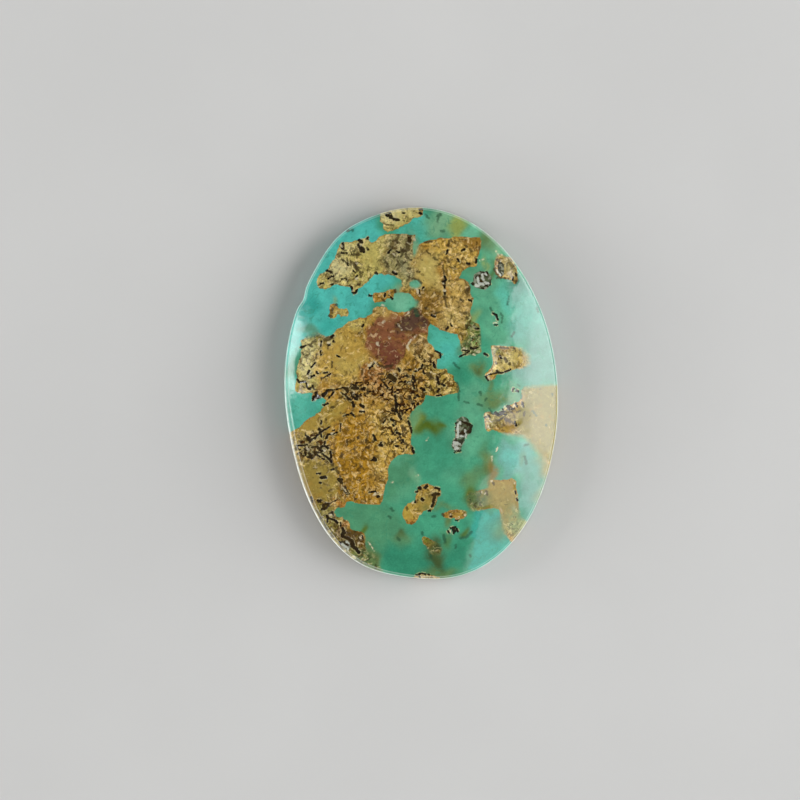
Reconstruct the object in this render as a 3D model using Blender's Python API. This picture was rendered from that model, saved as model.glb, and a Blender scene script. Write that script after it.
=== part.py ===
"""A polished oval cabochon: turquoise still grown together with its brown host rock, cut from one lump.

It lies on its flat ground back. The long axis is Y, the dome faces +Z, and the origin is the middle of
the back. Lengths are in metres, angles run anticlockwise from +X, seen from above.
"""

import math

import bmesh
import bpy

MM = 0.001

# Driving dimensions
HALF_LENGTH = 15.1 * MM
HALF_WIDTH = 11.05 * MM
HEIGHT = 5.0 * MM
DOME_EDGE_HEIGHT = 2.15 * MM  # top of the bevel, where the dome starts
GIRDLE_TOP = 1.80 * MM
GIRDLE_BASE = 0.40 * MM
GIRDLE_LEAN = 0.10 * MM  # how far the wall leans in between its base and its top
BACK_BEVEL = 0.40 * MM
DOME_SPHERE = 2.0  # radius of the dome's arc, in half widths of the stone

# The bevel between wall and dome is widest on the left, where the stone was ground back furthest.
BEVEL_WIDTH = 0.22 * MM
WIDE_BEVEL = 0.24 * MM
WIDE_BEVEL_ANGLE = 208
WIDE_BEVEL_SPREAD = 42

# How far the hand-ground outline departs from a true oval: angle, spread (both in degrees), rise
OUTLINE_DEPARTURES = {
    "upper left shoulder": (114, 10, 0.30 * MM),
    "chip on the left": (138, 3, -0.20 * MM),
    "left side": (195, 22, -0.12 * MM),
    "lower left belly": (246.5, 26.5, 0.47 * MM),
    "flat foot": (263, 14.5, -0.56 * MM),
    "lower right belly": (301, 21, 0.20 * MM),
}

# Host rock is softer than turquoise, so polishing wore it lower: x, y, half sizes, turn in degrees, depth
WORN_HOLLOWS = {
    "top patch": (-1.6, 14.3, 1.2, 0.6, 0, 0.05),
    "upper left patch": (-4.2, 11.2, 3.2, 1.2, 14, 0.07),
    "upper right patch": (2.4, 9.0, 2.0, 3.2, 0, 0.07),
    "left lobe": (-7.2, 3.2, 2.6, 1.7, 25, 0.08),
    "red spot": (-2.0, 4.4, 2.2, 1.7, 10, 0.06),
    "heart": (-3.2, -0.4, 4.0, 1.7, 20, 0.10),
    "large ochre field": (-4.6, -4.2, 3.0, 3.4, 15, 0.09),
    "lower left field": (-8.4, -5.2, 1.0, 2.4, 10, 0.06),
    "right upper patch": (6.8, 2.7, 1.1, 0.9, 0, 0.06),
    "right middle patch": (6.7, -2.3, 1.6, 0.8, 12, 0.07),
    "right lower patch": (6.0, -8.0, 1.7, 1.2, 0, 0.05),
}

# Open pits left by grains that broke out: x, y, radius, depth
PITS = {
    "hole at the top": (-0.28, 12.35, 0.40, 0.22),
    "bright pocket, upper right": (5.30, 8.85, 0.60, 0.20),
    "bright pocket, middle": (3.15, -2.95, 0.60, 0.22),
    "hole beside it": (2.50, -4.15, 0.40, 0.18),
    "pocket at the right edge": (7.95, 8.95, 0.45, 0.16),
    "crevice, west": (-8.40, 0.25, 0.50, 0.22),
    "crevice, middle": (-5.60, 0.70, 0.60, 0.22),
    "hole in the heart": (-2.20, 1.45, 0.50, 0.22),
    "black corner, left": (-8.90, -4.00, 0.65, 0.20),
    "crack mouth": (-6.60, -7.00, 0.50, 0.18),
    "lower left pocket": (-8.10, -8.50, 0.50, 0.20),
    "foot crevice": (-6.50, -11.40, 0.60, 0.24),
    "small hole, foot": (0.65, -8.10, 0.45, 0.16),
}

WEAR_FADE = 0.06  # share of the dome next to the bevel over which hollows and pits run out

CELLS = 56  # cells of the dome's grid along each side
SHARP_ANGLE = math.radians(30)

TURQUOISE = (0.13, 0.42, 0.34, 1.0)
POLISH_ROUGHNESS = 0.22


def clear_scene():
    for thing in list(bpy.data.objects):
        bpy.data.objects.remove(thing)


def bump(offset, spread):
    """A smooth bell of height 1, centred where offset is 0."""
    return math.exp(-((offset / spread) ** 2))


def degrees_apart(angle, target_degrees):
    """Signed difference of two directions in degrees, from -180 to 180."""
    return (math.degrees(angle) - target_degrees + 180) % 360 - 180


def outline_radius(angle):
    """Distance from the middle to the stone's widest outline in one direction."""
    oval = 1 / math.hypot(math.cos(angle) / HALF_WIDTH, math.sin(angle) / HALF_LENGTH)
    departures = OUTLINE_DEPARTURES.values()
    return oval + sum(rise * bump(degrees_apart(angle, at), spread) for at, spread, rise in departures)


def bevel_width(angle):
    wide = bump(degrees_apart(angle, WIDE_BEVEL_ANGLE), WIDE_BEVEL_SPREAD)
    return BEVEL_WIDTH + WIDE_BEVEL * wide


def wear(x, y):
    """How far the polished face lies below the smooth dome at one place."""
    depth = 0.0
    for middle_x, middle_y, half_x, half_y, turn, hollow_depth in WORN_HOLLOWS.values():
        across, up = x / MM - middle_x, y / MM - middle_y
        cosine, sine = math.cos(math.radians(turn)), math.sin(math.radians(turn))
        along = (across * cosine + up * sine) / half_x
        aside = (up * cosine - across * sine) / half_y
        depth += hollow_depth * bump(math.hypot(along, aside) ** 2, 1.0)
    for middle_x, middle_y, radius, pit_depth in PITS.values():
        depth += pit_depth * bump(math.hypot(x / MM - middle_x, y / MM - middle_y), radius)
    return depth * MM


def dome_height(ring, x, y):
    """Height of the face. ring is 0 in the middle and 1 where the dome meets its bevel."""
    arc_at_edge = math.sqrt(DOME_SPHERE**2 - 1)
    arc = (math.sqrt(DOME_SPHERE**2 - ring**2) - arc_at_edge) / (DOME_SPHERE - arc_at_edge)
    fade = min(1.0, (1 - ring) / WEAR_FADE)
    return DOME_EDGE_HEIGHT + (HEIGHT - DOME_EDGE_HEIGHT) * arc - fade * wear(x, y)


def disc_position(u, v):
    """Ring and angle on a disc for a point of the square from -1 to 1, so that cells keep their shape."""
    if abs(u) > abs(v):
        ring, angle = u, math.pi / 4 * v / u
    elif v:
        ring, angle = v, math.pi / 2 - math.pi / 4 * u / v
    else:
        ring, angle = 0.0, 0.0
    return (ring, angle) if ring >= 0 else (-ring, angle + math.pi)


def shape_dome(stone):
    """A square grid, drawn out to the oval and raised to the dome."""
    bmesh.ops.create_grid(stone, x_segments=CELLS, y_segments=CELLS, size=1.0)
    half_side = max(vertex.co.x for vertex in stone.verts)
    for vertex in stone.verts:
        ring, angle = disc_position(vertex.co.x / half_side, vertex.co.y / half_side)
        reach = ring * (outline_radius(angle) - GIRDLE_LEAN - bevel_width(angle))
        x, y = reach * math.cos(angle), reach * math.sin(angle)
        vertex.co = (x, y, dome_height(ring, x, y))


def extend_wall(stone, inset, height):
    """Draws the open rim of the mesh down to a new rim, inset from the widest outline."""
    rim = [edge for edge in stone.edges if edge.is_boundary]
    grown = bmesh.ops.extrude_edge_only(stone, edges=rim)["geom"]
    for vertex in (part for part in grown if isinstance(part, bmesh.types.BMVert)):
        angle = math.atan2(vertex.co.y, vertex.co.x)
        reach = outline_radius(angle) - inset
        vertex.co = (reach * math.cos(angle), reach * math.sin(angle), height)


def close_back(stone):
    rim = [edge for edge in stone.edges if edge.is_boundary]
    bmesh.ops.contextual_create(stone, geom=rim)


def polished_stone():
    material = bpy.data.materials.new("polished_turquoise")
    material.use_nodes = True
    shader = material.node_tree.nodes["Principled BSDF"]
    shader.inputs["Base Color"].default_value = TURQUOISE
    shader.inputs["Roughness"].default_value = POLISH_ROUGHNESS
    shader.inputs["Metallic"].default_value = 0.0
    return material


def make_cabochon():
    stone = bmesh.new()
    shape_dome(stone)
    extend_wall(stone, GIRDLE_LEAN, GIRDLE_TOP)
    extend_wall(stone, 0.0, GIRDLE_BASE)
    extend_wall(stone, BACK_BEVEL, 0.0)
    close_back(stone)
    bmesh.ops.recalc_face_normals(stone, faces=stone.faces)
    mesh = bpy.data.meshes.new("turquoise_cabochon")
    stone.to_mesh(mesh)
    stone.free()
    mesh.shade_smooth()
    mesh.set_sharp_from_angle(angle=SHARP_ANGLE)
    mesh.materials.append(polished_stone())
    cabochon = bpy.data.objects.new("turquoise_cabochon", mesh)
    bpy.context.scene.collection.objects.link(cabochon)


clear_scene()
make_cabochon()
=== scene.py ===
"""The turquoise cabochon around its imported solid: fine surface, natural pattern, floor, light and camera.

Positions on the stone are in millimetres in the stone's own frame: x along its short axis, y along its
long axis, z out of the domed face, from the middle of the flat back.
"""

import math

import bpy
import numpy as np
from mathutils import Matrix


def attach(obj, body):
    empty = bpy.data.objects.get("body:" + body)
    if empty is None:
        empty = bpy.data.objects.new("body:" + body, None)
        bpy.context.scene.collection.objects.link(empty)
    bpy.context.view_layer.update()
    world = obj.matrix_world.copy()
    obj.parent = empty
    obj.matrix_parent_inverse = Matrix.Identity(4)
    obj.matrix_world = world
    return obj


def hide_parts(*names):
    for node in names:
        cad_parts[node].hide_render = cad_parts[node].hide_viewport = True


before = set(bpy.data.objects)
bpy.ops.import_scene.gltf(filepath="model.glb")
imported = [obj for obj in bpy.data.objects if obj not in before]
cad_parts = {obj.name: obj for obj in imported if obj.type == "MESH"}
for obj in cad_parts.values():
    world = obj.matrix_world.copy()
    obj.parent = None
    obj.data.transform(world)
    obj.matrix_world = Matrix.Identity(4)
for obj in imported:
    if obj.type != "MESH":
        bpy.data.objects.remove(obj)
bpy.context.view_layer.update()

MM = 0.001

# The stone's form: the broad shapes of its solid, with shallower pits
HALF_LENGTH = 15.1
HALF_WIDTH = 11.05
HEIGHT = 4.999
DOME_EDGE_HEIGHT = 2.15
GIRDLE_TOP = 1.80
GIRDLE_LEAN = 0.10
DOME_SPHERE = 2.0  # radius of the sphere that the dome is cut from, in half widths of the stone
BEVEL_WIDTH = 0.22
WIDE_BEVEL = 0.24  # how much wider the bevel is where it is widest
WIDE_BEVEL_ANGLE = 208
WIDE_BEVEL_SPREAD = 42
# Where the outline leaves the oval: direction and spread in degrees, rise
OUTLINE_DEPARTURES = {
    "upper left shoulder": (114, 10, 0.30),
    "chip on the left": (138, 3, -0.20),
    "left side": (195, 22, -0.12),
    "lower left belly": (246.5, 26.5, 0.47),
    "flat foot": (263, 14.5, -0.56),
    "lower right belly": (301, 21, 0.20),
}
# Middle x and y, half sizes, turn in degrees, depth
WORN_HOLLOWS = {
    "top patch": (-1.6, 14.3, 1.2, 0.6, 0, 0.05),
    "upper left patch": (-4.2, 11.2, 3.2, 1.2, 14, 0.07),
    "upper right patch": (2.4, 9.0, 2.0, 3.2, 0, 0.07),
    "left lobe": (-7.2, 3.2, 2.6, 1.7, 25, 0.08),
    "red spot": (-2.0, 4.4, 2.2, 1.7, 10, 0.06),
    "heart": (-3.2, -0.4, 4.0, 1.7, 20, 0.10),
    "large ochre field": (-4.6, -4.2, 3.0, 3.4, 15, 0.09),
    "lower left field": (-8.4, -5.2, 1.0, 2.4, 10, 0.06),
    "right upper patch": (6.8, 2.7, 1.1, 0.9, 0, 0.06),
    "right middle patch": (6.7, -2.3, 1.6, 0.8, 12, 0.07),
    "right lower patch": (6.0, -8.0, 1.7, 1.2, 0, 0.05),
}
# Middle x and y, radius, depth
PITS = {
    "hole at the top": (-0.28, 12.35, 0.40, 0.22),
    "bright pocket, upper right": (5.30, 8.85, 0.60, 0.20),
    "bright pocket, middle": (3.15, -2.95, 0.60, 0.22),
    "hole beside it": (2.50, -4.15, 0.40, 0.18),
    "pocket at the right edge": (7.95, 8.95, 0.45, 0.16),
    "crevice, middle": (-5.60, 0.70, 0.60, 0.22),
    "hole in the heart": (-2.20, 1.45, 0.50, 0.22),
    "black corner, left": (-8.90, -4.00, 0.65, 0.20),
    "crack mouth": (-6.60, -7.00, 0.50, 0.18),
    "lower left pocket": (-8.10, -8.50, 0.50, 0.20),
    "foot crevice": (-6.50, -11.40, 0.60, 0.24),
    "small hole, foot": (0.65, -8.10, 0.45, 0.16),
}
WEAR_FADE = 0.06  # width of the ring at the rim of the face where wear fades out
NARROW_DEPARTURE = 12  # departures narrower than this are chips, felt only near the rim
PIT_SHARE = 0.25  # how much of the pits' depth is left on the polished face
PIT_DARKENING_REACH = 1.2  # reach of the darkening around a pit, in radii of the pit
CHIP_REACH = 0.86  # ring of the face from which chips are felt
ROCK_DROP = 0.03  # how much lower rock lies than the turquoise
ROCK_SHORE = 0.3  # width of the slope between the two
BLACK_DROP = 0.02  # how deep the widest black strokes are
BLACK_SHORE = 0.10
BACK_LEVEL = 0.02  # height below which a point belongs to the ground back
GIRDLE_FADE = 0.3  # height over which the painted shade of the wall sets in
POCKET_FADE = (1.25, 0.85)  # in half sizes of a bright pocket: where it starts, and where it is full

# Outlines of the host rock where it reaches the surface, x and y
ROCK = {
    "crown": [
        (-2.55, 15.4), (-2.5, 14.4), (-2.55, 14.0), (-2.3, 13.75), (-2.3, 13.3), (-2.0, 13.12),
        (-1.5, 13.2), (-1.0, 13.4), (-0.5, 13.65), (-0.15, 13.75), (0.0, 14.0), (0.25, 14.15), (0.8, 14.2),
        (0.95, 14.6), (0.9, 15.4),
    ],
    "upper field": [
        (-7.78, 9.0), (-7.85, 9.6), (-7.6, 10.0), (-7.05, 10.25), (-6.85, 10.45), (-6.55, 11.0),
        (-6.28, 11.3), (-6.1, 11.85), (-5.8, 12.42), (-5.4, 12.5), (-5.0, 12.45), (-4.35, 12.62),
        (-3.75, 12.7), (-3.6, 12.87), (-3.45, 12.8), (-3.5, 12.45), (-3.3, 12.3), (-2.95, 12.45),
        (-2.75, 12.72), (-2.2, 12.93), (-0.5, 12.88), (-0.3, 12.78), (0.18, 12.75), (0.12, 12.45),
        (0.0, 12.1), (-0.08, 11.5), (0.02, 11.05), (0.18, 11.3), (0.35, 11.8), (0.6, 12.0), (1.0, 12.2),
        (1.8, 12.3), (2.3, 12.4), (2.8, 12.3), (3.4, 12.47), (4.4, 12.35), (5.4, 12.3), (5.45, 12.0),
        (5.35, 11.4), (5.2, 10.95), (5.0, 10.6), (5.0, 10.1), (4.8, 9.95), (4.2, 9.9), (3.9, 9.7),
        (3.65, 9.4), (3.55, 9.1), (3.9, 8.95), (4.2, 8.75), (4.33, 8.4), (4.35, 8.0), (4.38, 7.6),
        (4.55, 7.45), (4.45, 7.2), (4.4, 6.8), (4.25, 6.5), (4.3, 6.1), (4.35, 5.6), (4.85, 5.35),
        (4.97, 5.0), (4.95, 4.0), (4.9, 3.6), (4.97, 3.2), (4.75, 3.0), (4.3, 2.85), (3.9, 2.95),
        (3.5, 2.95), (3.35, 3.3), (3.35, 3.8), (3.2, 4.3), (3.1, 4.6), (2.7, 4.7), (2.4, 4.85), (2.0, 4.95),
        (1.75, 5.0), (1.55, 5.25), (1.3, 5.4), (1.05, 5.55), (0.85, 5.4), (0.2, 5.6), (0.0, 6.6),
        (0.1, 7.3), (0.0, 7.45), (-0.2, 7.7), (-0.4, 7.95), (-0.6, 8.05), (-1.0, 8.15), (-1.3, 8.25),
        (-1.2, 8.5), (-1.05, 8.7), (-1.1, 9.15), (-1.3, 9.3), (-1.6, 9.5), (-2.0, 9.65), (-2.4, 9.65),
        (-2.8, 9.8), (-3.1, 9.9), (-3.25, 9.75), (-3.5, 9.45), (-3.7, 9.25), (-4.0, 9.0), (-4.3, 8.75),
        (-4.62, 8.65), (-4.65, 8.45), (-4.8, 8.25), (-5.0, 8.3), (-5.1, 8.45), (-5.0, 8.65), (-5.2, 8.85),
        (-5.9, 8.98), (-6.2, 9.1), (-6.5, 9.1), (-6.9, 8.9), (-7.2, 8.78), (-7.5, 8.83),
    ],
    "small patch": [
        (-3.45, 7.9), (-3.5, 8.1), (-3.3, 8.27), (-2.6, 8.25), (-2.3, 8.35), (-2.0, 8.5), (-1.6, 8.45),
        (-1.45, 8.25), (-1.7, 8.1), (-1.75, 7.9), (-1.9, 7.72), (-2.3, 7.78), (-2.5, 7.6), (-2.8, 7.5),
        (-3.25, 7.5), (-3.4, 7.65),
    ],
    "specks": [
        (-6.88, 7.6), (-6.4, 7.55), (-6.25, 7.2), (-5.9, 7.12), (-5.5, 7.15), (-5.4, 6.85), (-5.5, 6.55),
        (-6.0, 6.55), (-6.3, 6.75), (-6.5, 6.5), (-6.95, 6.4), (-7.05, 6.6), (-6.93, 6.9),
    ],
    "main body": [
        (-9.35, 4.75), (-9.3, 4.4), (-9.35, 4.0), (-9.4, 3.6), (-9.55, 3.3), (-9.65, 2.95), (-9.8, 2.6),
        (-9.9, 2.2), (-9.82, 1.9), (-9.95, 1.4), (-10.0, 1.1), (-10.0, 0.8), (-9.85, 0.65), (-9.3, 0.6),
        (-8.65, 0.6), (-8.72, 0.1), (-8.55, -0.05), (-8.1, 0.17), (-7.75, 0.15), (-7.6, -0.05),
        (-7.6, -0.2), (-7.75, -0.45), (-7.95, -0.75), (-8.1, -0.95), (-8.6, -1.25), (-9.1, -1.45),
        (-9.4, -1.7), (-9.7, -2.0), (-10.0, -2.2), (-10.5, -2.42), (-11.6, -2.6), (-12.0, -8.0),
        (-9.0, -14.0), (-4.0, -16.0), (-3.85, -14.0), (-4.1, -13.6), (-4.25, -13.0), (-4.6, -12.6),
        (-5.0, -12.3), (-5.1, -11.8), (-5.05, -11.3), (-5.1, -10.9), (-5.3, -10.7), (-5.6, -10.6),
        (-6.0, -10.55), (-6.2, -10.4), (-6.25, -10.0), (-6.35, -9.75), (-6.7, -9.62), (-6.75, -9.4),
        (-7.0, -9.5), (-7.3, -9.3), (-7.4, -9.0), (-7.3, -8.75), (-7.0, -8.65), (-6.75, -8.7), (-6.6, -8.6),
        (-6.5, -8.4), (-6.35, -8.22), (-6.0, -8.2), (-5.7, -8.35), (-5.3, -8.4), (-4.8, -8.5),
        (-4.2, -8.55), (-3.75, -8.58), (-3.5, -8.3), (-3.4, -7.8), (-3.3, -7.4), (-3.2, -7.0), (-3.0, -6.8),
        (-2.95, -6.3), (-2.95, -5.9), (-2.85, -5.5), (-2.7, -5.2), (-2.45, -5.0), (-2.15, -4.8),
        (-1.9, -4.66), (-1.5, -4.65), (-1.2, -4.65), (-0.95, -4.75), (-0.75, -4.7), (-0.8, -4.4),
        (-0.9, -4.1), (-1.0, -3.8), (-1.0, -3.3), (-0.9, -2.9), (-0.9, -2.5), (-1.0, -2.2), (-1.05, -1.85),
        (-0.95, -1.55), (-0.75, -1.3), (-0.5, -1.1), (-0.45, -0.95), (-0.25, -0.85), (0.0, -0.75),
        (0.2, -0.6), (0.25, -0.35), (0.35, -0.1), (0.6, -0.1), (1.0, -0.2), (1.5, -0.2), (1.9, -0.15),
        (2.4, -0.05), (2.8, -0.05), (3.0, 0.0), (3.05, 0.3), (3.0, 0.6), (2.85, 0.8), (2.65, 1.0),
        (2.65, 1.3), (2.45, 1.5), (2.2, 1.6), (2.15, 1.8), (2.0, 1.95), (1.7, 1.9), (1.4, 1.95),
        (1.35, 2.2), (1.4, 2.6), (1.5, 2.75), (1.7, 2.8), (1.75, 3.0), (1.85, 3.1), (1.7, 3.3), (1.3, 3.35),
        (1.2, 3.6), (1.1, 3.8), (0.9, 4.0), (0.75, 4.1), (0.7, 4.4), (0.8, 4.8), (0.85, 5.3), (0.9, 5.6),
        (0.6, 6.6), (0.1, 7.0), (-0.3, 6.92), (-0.6, 6.7), (-0.9, 6.6), (-1.5, 6.6), (-1.9, 6.7),
        (-2.2, 6.85), (-2.4, 7.05), (-2.7, 7.15), (-3.3, 7.1), (-3.5, 6.95), (-3.5, 6.65), (-3.8, 6.5),
        (-4.05, 6.35), (-4.2, 6.3), (-4.6, 6.35), (-5.0, 6.2), (-5.4, 6.1), (-5.7, 5.95), (-5.95, 5.7),
        (-6.3, 5.6), (-6.6, 5.3), (-6.75, 5.15), (-7.0, 5.05), (-7.4, 4.97), (-7.6, 5.15), (-8.0, 5.3),
        (-8.5, 5.15), (-9.0, 5.0),
    ],
    "right upper patch": [
        (5.75, 3.6), (6.4, 3.55), (7.0, 3.5), (7.5, 3.45), (8.2, 3.2), (8.7, 2.6), (8.7, 2.0), (8.2, 1.65),
        (7.4, 1.6), (7.2, 1.5), (6.6, 1.35), (6.0, 1.22), (5.9, 0.95), (5.55, 0.85), (5.35, 0.85),
        (5.2, 1.1), (5.15, 1.35), (5.6, 1.7), (5.82, 2.1), (5.85, 2.6), (5.75, 3.1),
    ],
    "right middle patch": [
        (4.87, -1.8), (5.0, -1.7), (5.3, -1.6), (5.7, -1.85), (6.0, -1.9), (6.3, -1.7), (6.6, -1.45),
        (7.0, -1.2), (7.3, -1.1), (7.7, -1.0), (8.0, -0.7), (8.0, -0.1), (8.3, 0.15), (9.5, 0.2),
        (11.8, 0.2), (11.6, -6.5), (10.0, -6.2), (9.0, -5.0), (8.4, -4.2), (7.9, -3.7), (7.2, -3.55),
        (6.7, -3.5), (6.0, -3.3), (5.5, -3.1), (5.1, -3.2), (4.95, -3.0), (4.95, -2.4),
    ],
    "right lower patch": [
        (4.2, -7.9), (4.9, -7.7), (5.05, -7.2), (5.2, -7.05), (5.5, -7.1), (6.0, -7.15), (6.5, -7.1),
        (6.9, -7.05), (7.2, -7.3), (7.2, -7.9), (7.3, -8.5), (7.3, -9.0), (7.35, -9.5), (7.35, -10.2),
        (7.8, -10.5), (9.0, -11.5), (8.0, -13.0), (6.6, -12.2), (6.0, -11.2), (6.0, -10.8), (5.9, -10.2),
        (5.8, -9.7), (5.7, -9.45), (5.2, -9.35), (4.8, -9.4), (4.2, -9.45), (3.6, -9.4), (3.3, -9.1),
        (3.25, -8.5), (3.4, -8.0),
    ],
    "foot specks": [
        (1.15, -9.55), (1.4, -9.45), (1.8, -9.3), (2.3, -9.3), (2.8, -9.35), (3.1, -9.5), (3.15, -9.8),
        (2.9, -10.0), (2.3, -10.15), (2.1, -9.95), (1.7, -9.95), (1.3, -9.85),
    ],
    "foot patch": [
        (-0.95, -8.6), (-0.85, -8.0), (-0.75, -7.7), (-0.6, -7.3), (-0.3, -7.15), (0.1, -7.1), (0.4, -7.25),
        (0.7, -7.4), (1.05, -7.45), (1.15, -7.8), (1.1, -8.1), (0.85, -8.3), (0.75, -8.7), (0.55, -9.05),
        (0.3, -9.3), (0.0, -9.2), (-0.3, -9.3), (-0.5, -9.5), (-0.7, -9.6), (-0.75, -9.9), (-1.0, -10.1),
        (-1.3, -10.35), (-1.55, -10.25), (-1.8, -10.0), (-1.95, -9.7), (-1.95, -9.2), (-1.75, -8.8),
        (-1.5, -8.6), (-1.2, -8.5),
    ],
    "foot streak": [
        (-0.55, -11.4), (-0.3, -11.3), (0.0, -11.45), (0.3, -11.7), (0.7, -11.95), (1.0, -12.4),
        (0.8, -12.8), (0.3, -12.75), (0.0, -12.4), (-0.2, -12.1), (-0.5, -11.8),
    ],
    "foot rim": [
        (-1.5, -14.65), (-1.2, -14.45), (-0.9, -14.3), (-0.3, -14.38), (0.2, -14.5), (0.7, -14.7),
        (0.8, -15.6), (-1.6, -15.6),
    ],
    "rusty pocket": [
        (6.4, 9.9), (6.5, 10.5), (6.8, 10.85), (7.3, 10.7), (7.7, 10.6), (8.0, 10.2), (8.2, 9.7),
        (8.2, 9.2), (8.2, 8.6), (7.9, 8.4), (7.7, 8.75), (7.3, 8.85), (6.8, 8.95), (6.45, 9.2),
    ],
}
# Windows of turquoise inside the rock: x, y, half sizes
WINDOWS = {"upper window": (0.0, 8.8, 0.47, 0.34)}

# Colours of the minerals, as screen colours from 0 to 255
PALETTE = {
    "sky turquoise": (82, 187, 173),
    "pale turquoise": (114, 182, 148),
    "turquoise": (76, 168, 146),
    "deep turquoise": (44, 156, 142),
    "green turquoise": (66, 146, 113),
    "dull green turquoise": (76, 138, 101),
    "dark green turquoise": (50, 129, 99),
    "steel turquoise": (54, 150, 132),
    "grey turquoise": (80, 138, 120),
    "sea green": (86, 155, 121),
    "pale green": (120, 165, 126),
    "fog green": (92, 116, 68),
    "dark fog": (62, 80, 44),
    "olive": (78, 98, 28),
    "bright olive": (142, 156, 82),
    "cream": (210, 200, 142),
    "khaki": (190, 176, 98),
    "dull khaki": (167, 149, 76),
    "grey khaki": (147, 126, 58),
    "olive khaki": (126, 117, 50),
    "stone grey": (150, 141, 90),
    "tan": (174, 146, 82),
    "gold": (182, 149, 69),
    "ochre": (166, 127, 50),
    "deep ochre": (162, 120, 33),
    "yellow ochre": (171, 147, 63),
    "dusty ochre": (160, 135, 60),
    "rust": (150, 97, 43),
    "brown": (136, 103, 42),
    "dark brown": (84, 64, 24),
    "red brown": (131, 83, 54),
    "brick": (116, 68, 48),
    "plum": (86, 62, 48),
    "slate": (74, 80, 58),
    "silver": (148, 146, 110),
}
# Colours of single marks, as linear values
MARK_COLOURS = {
    "black mark": (0.010, 0.006, 0.003),
    "brown mark": (0.045, 0.030, 0.012),
    "green mark": (0.018, 0.070, 0.035),
    # Colours of the pale strokes: painted glints, with a few pale grains
    "cream flake and glint": (0.66, 0.58, 0.38),
    "bright metal glint": (0.66, 0.71, 0.62),
    "black umber": (0.014, 0.004, 0.001),
    "red umber": (0.070, 0.026, 0.002),
    "lit grain": (0.80, 0.64, 0.34),
    # Painted light and shade on the facets of metallic grains
    "painted shaded facet": (0.016, 0.018, 0.012),
    "painted lit facet": (0.48, 0.50, 0.40),
    # Painted highlight: the whitish line along the rim, which stands for light on the bevel
    "rim highlight white": (0.86, 0.92, 0.88),
}

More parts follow.
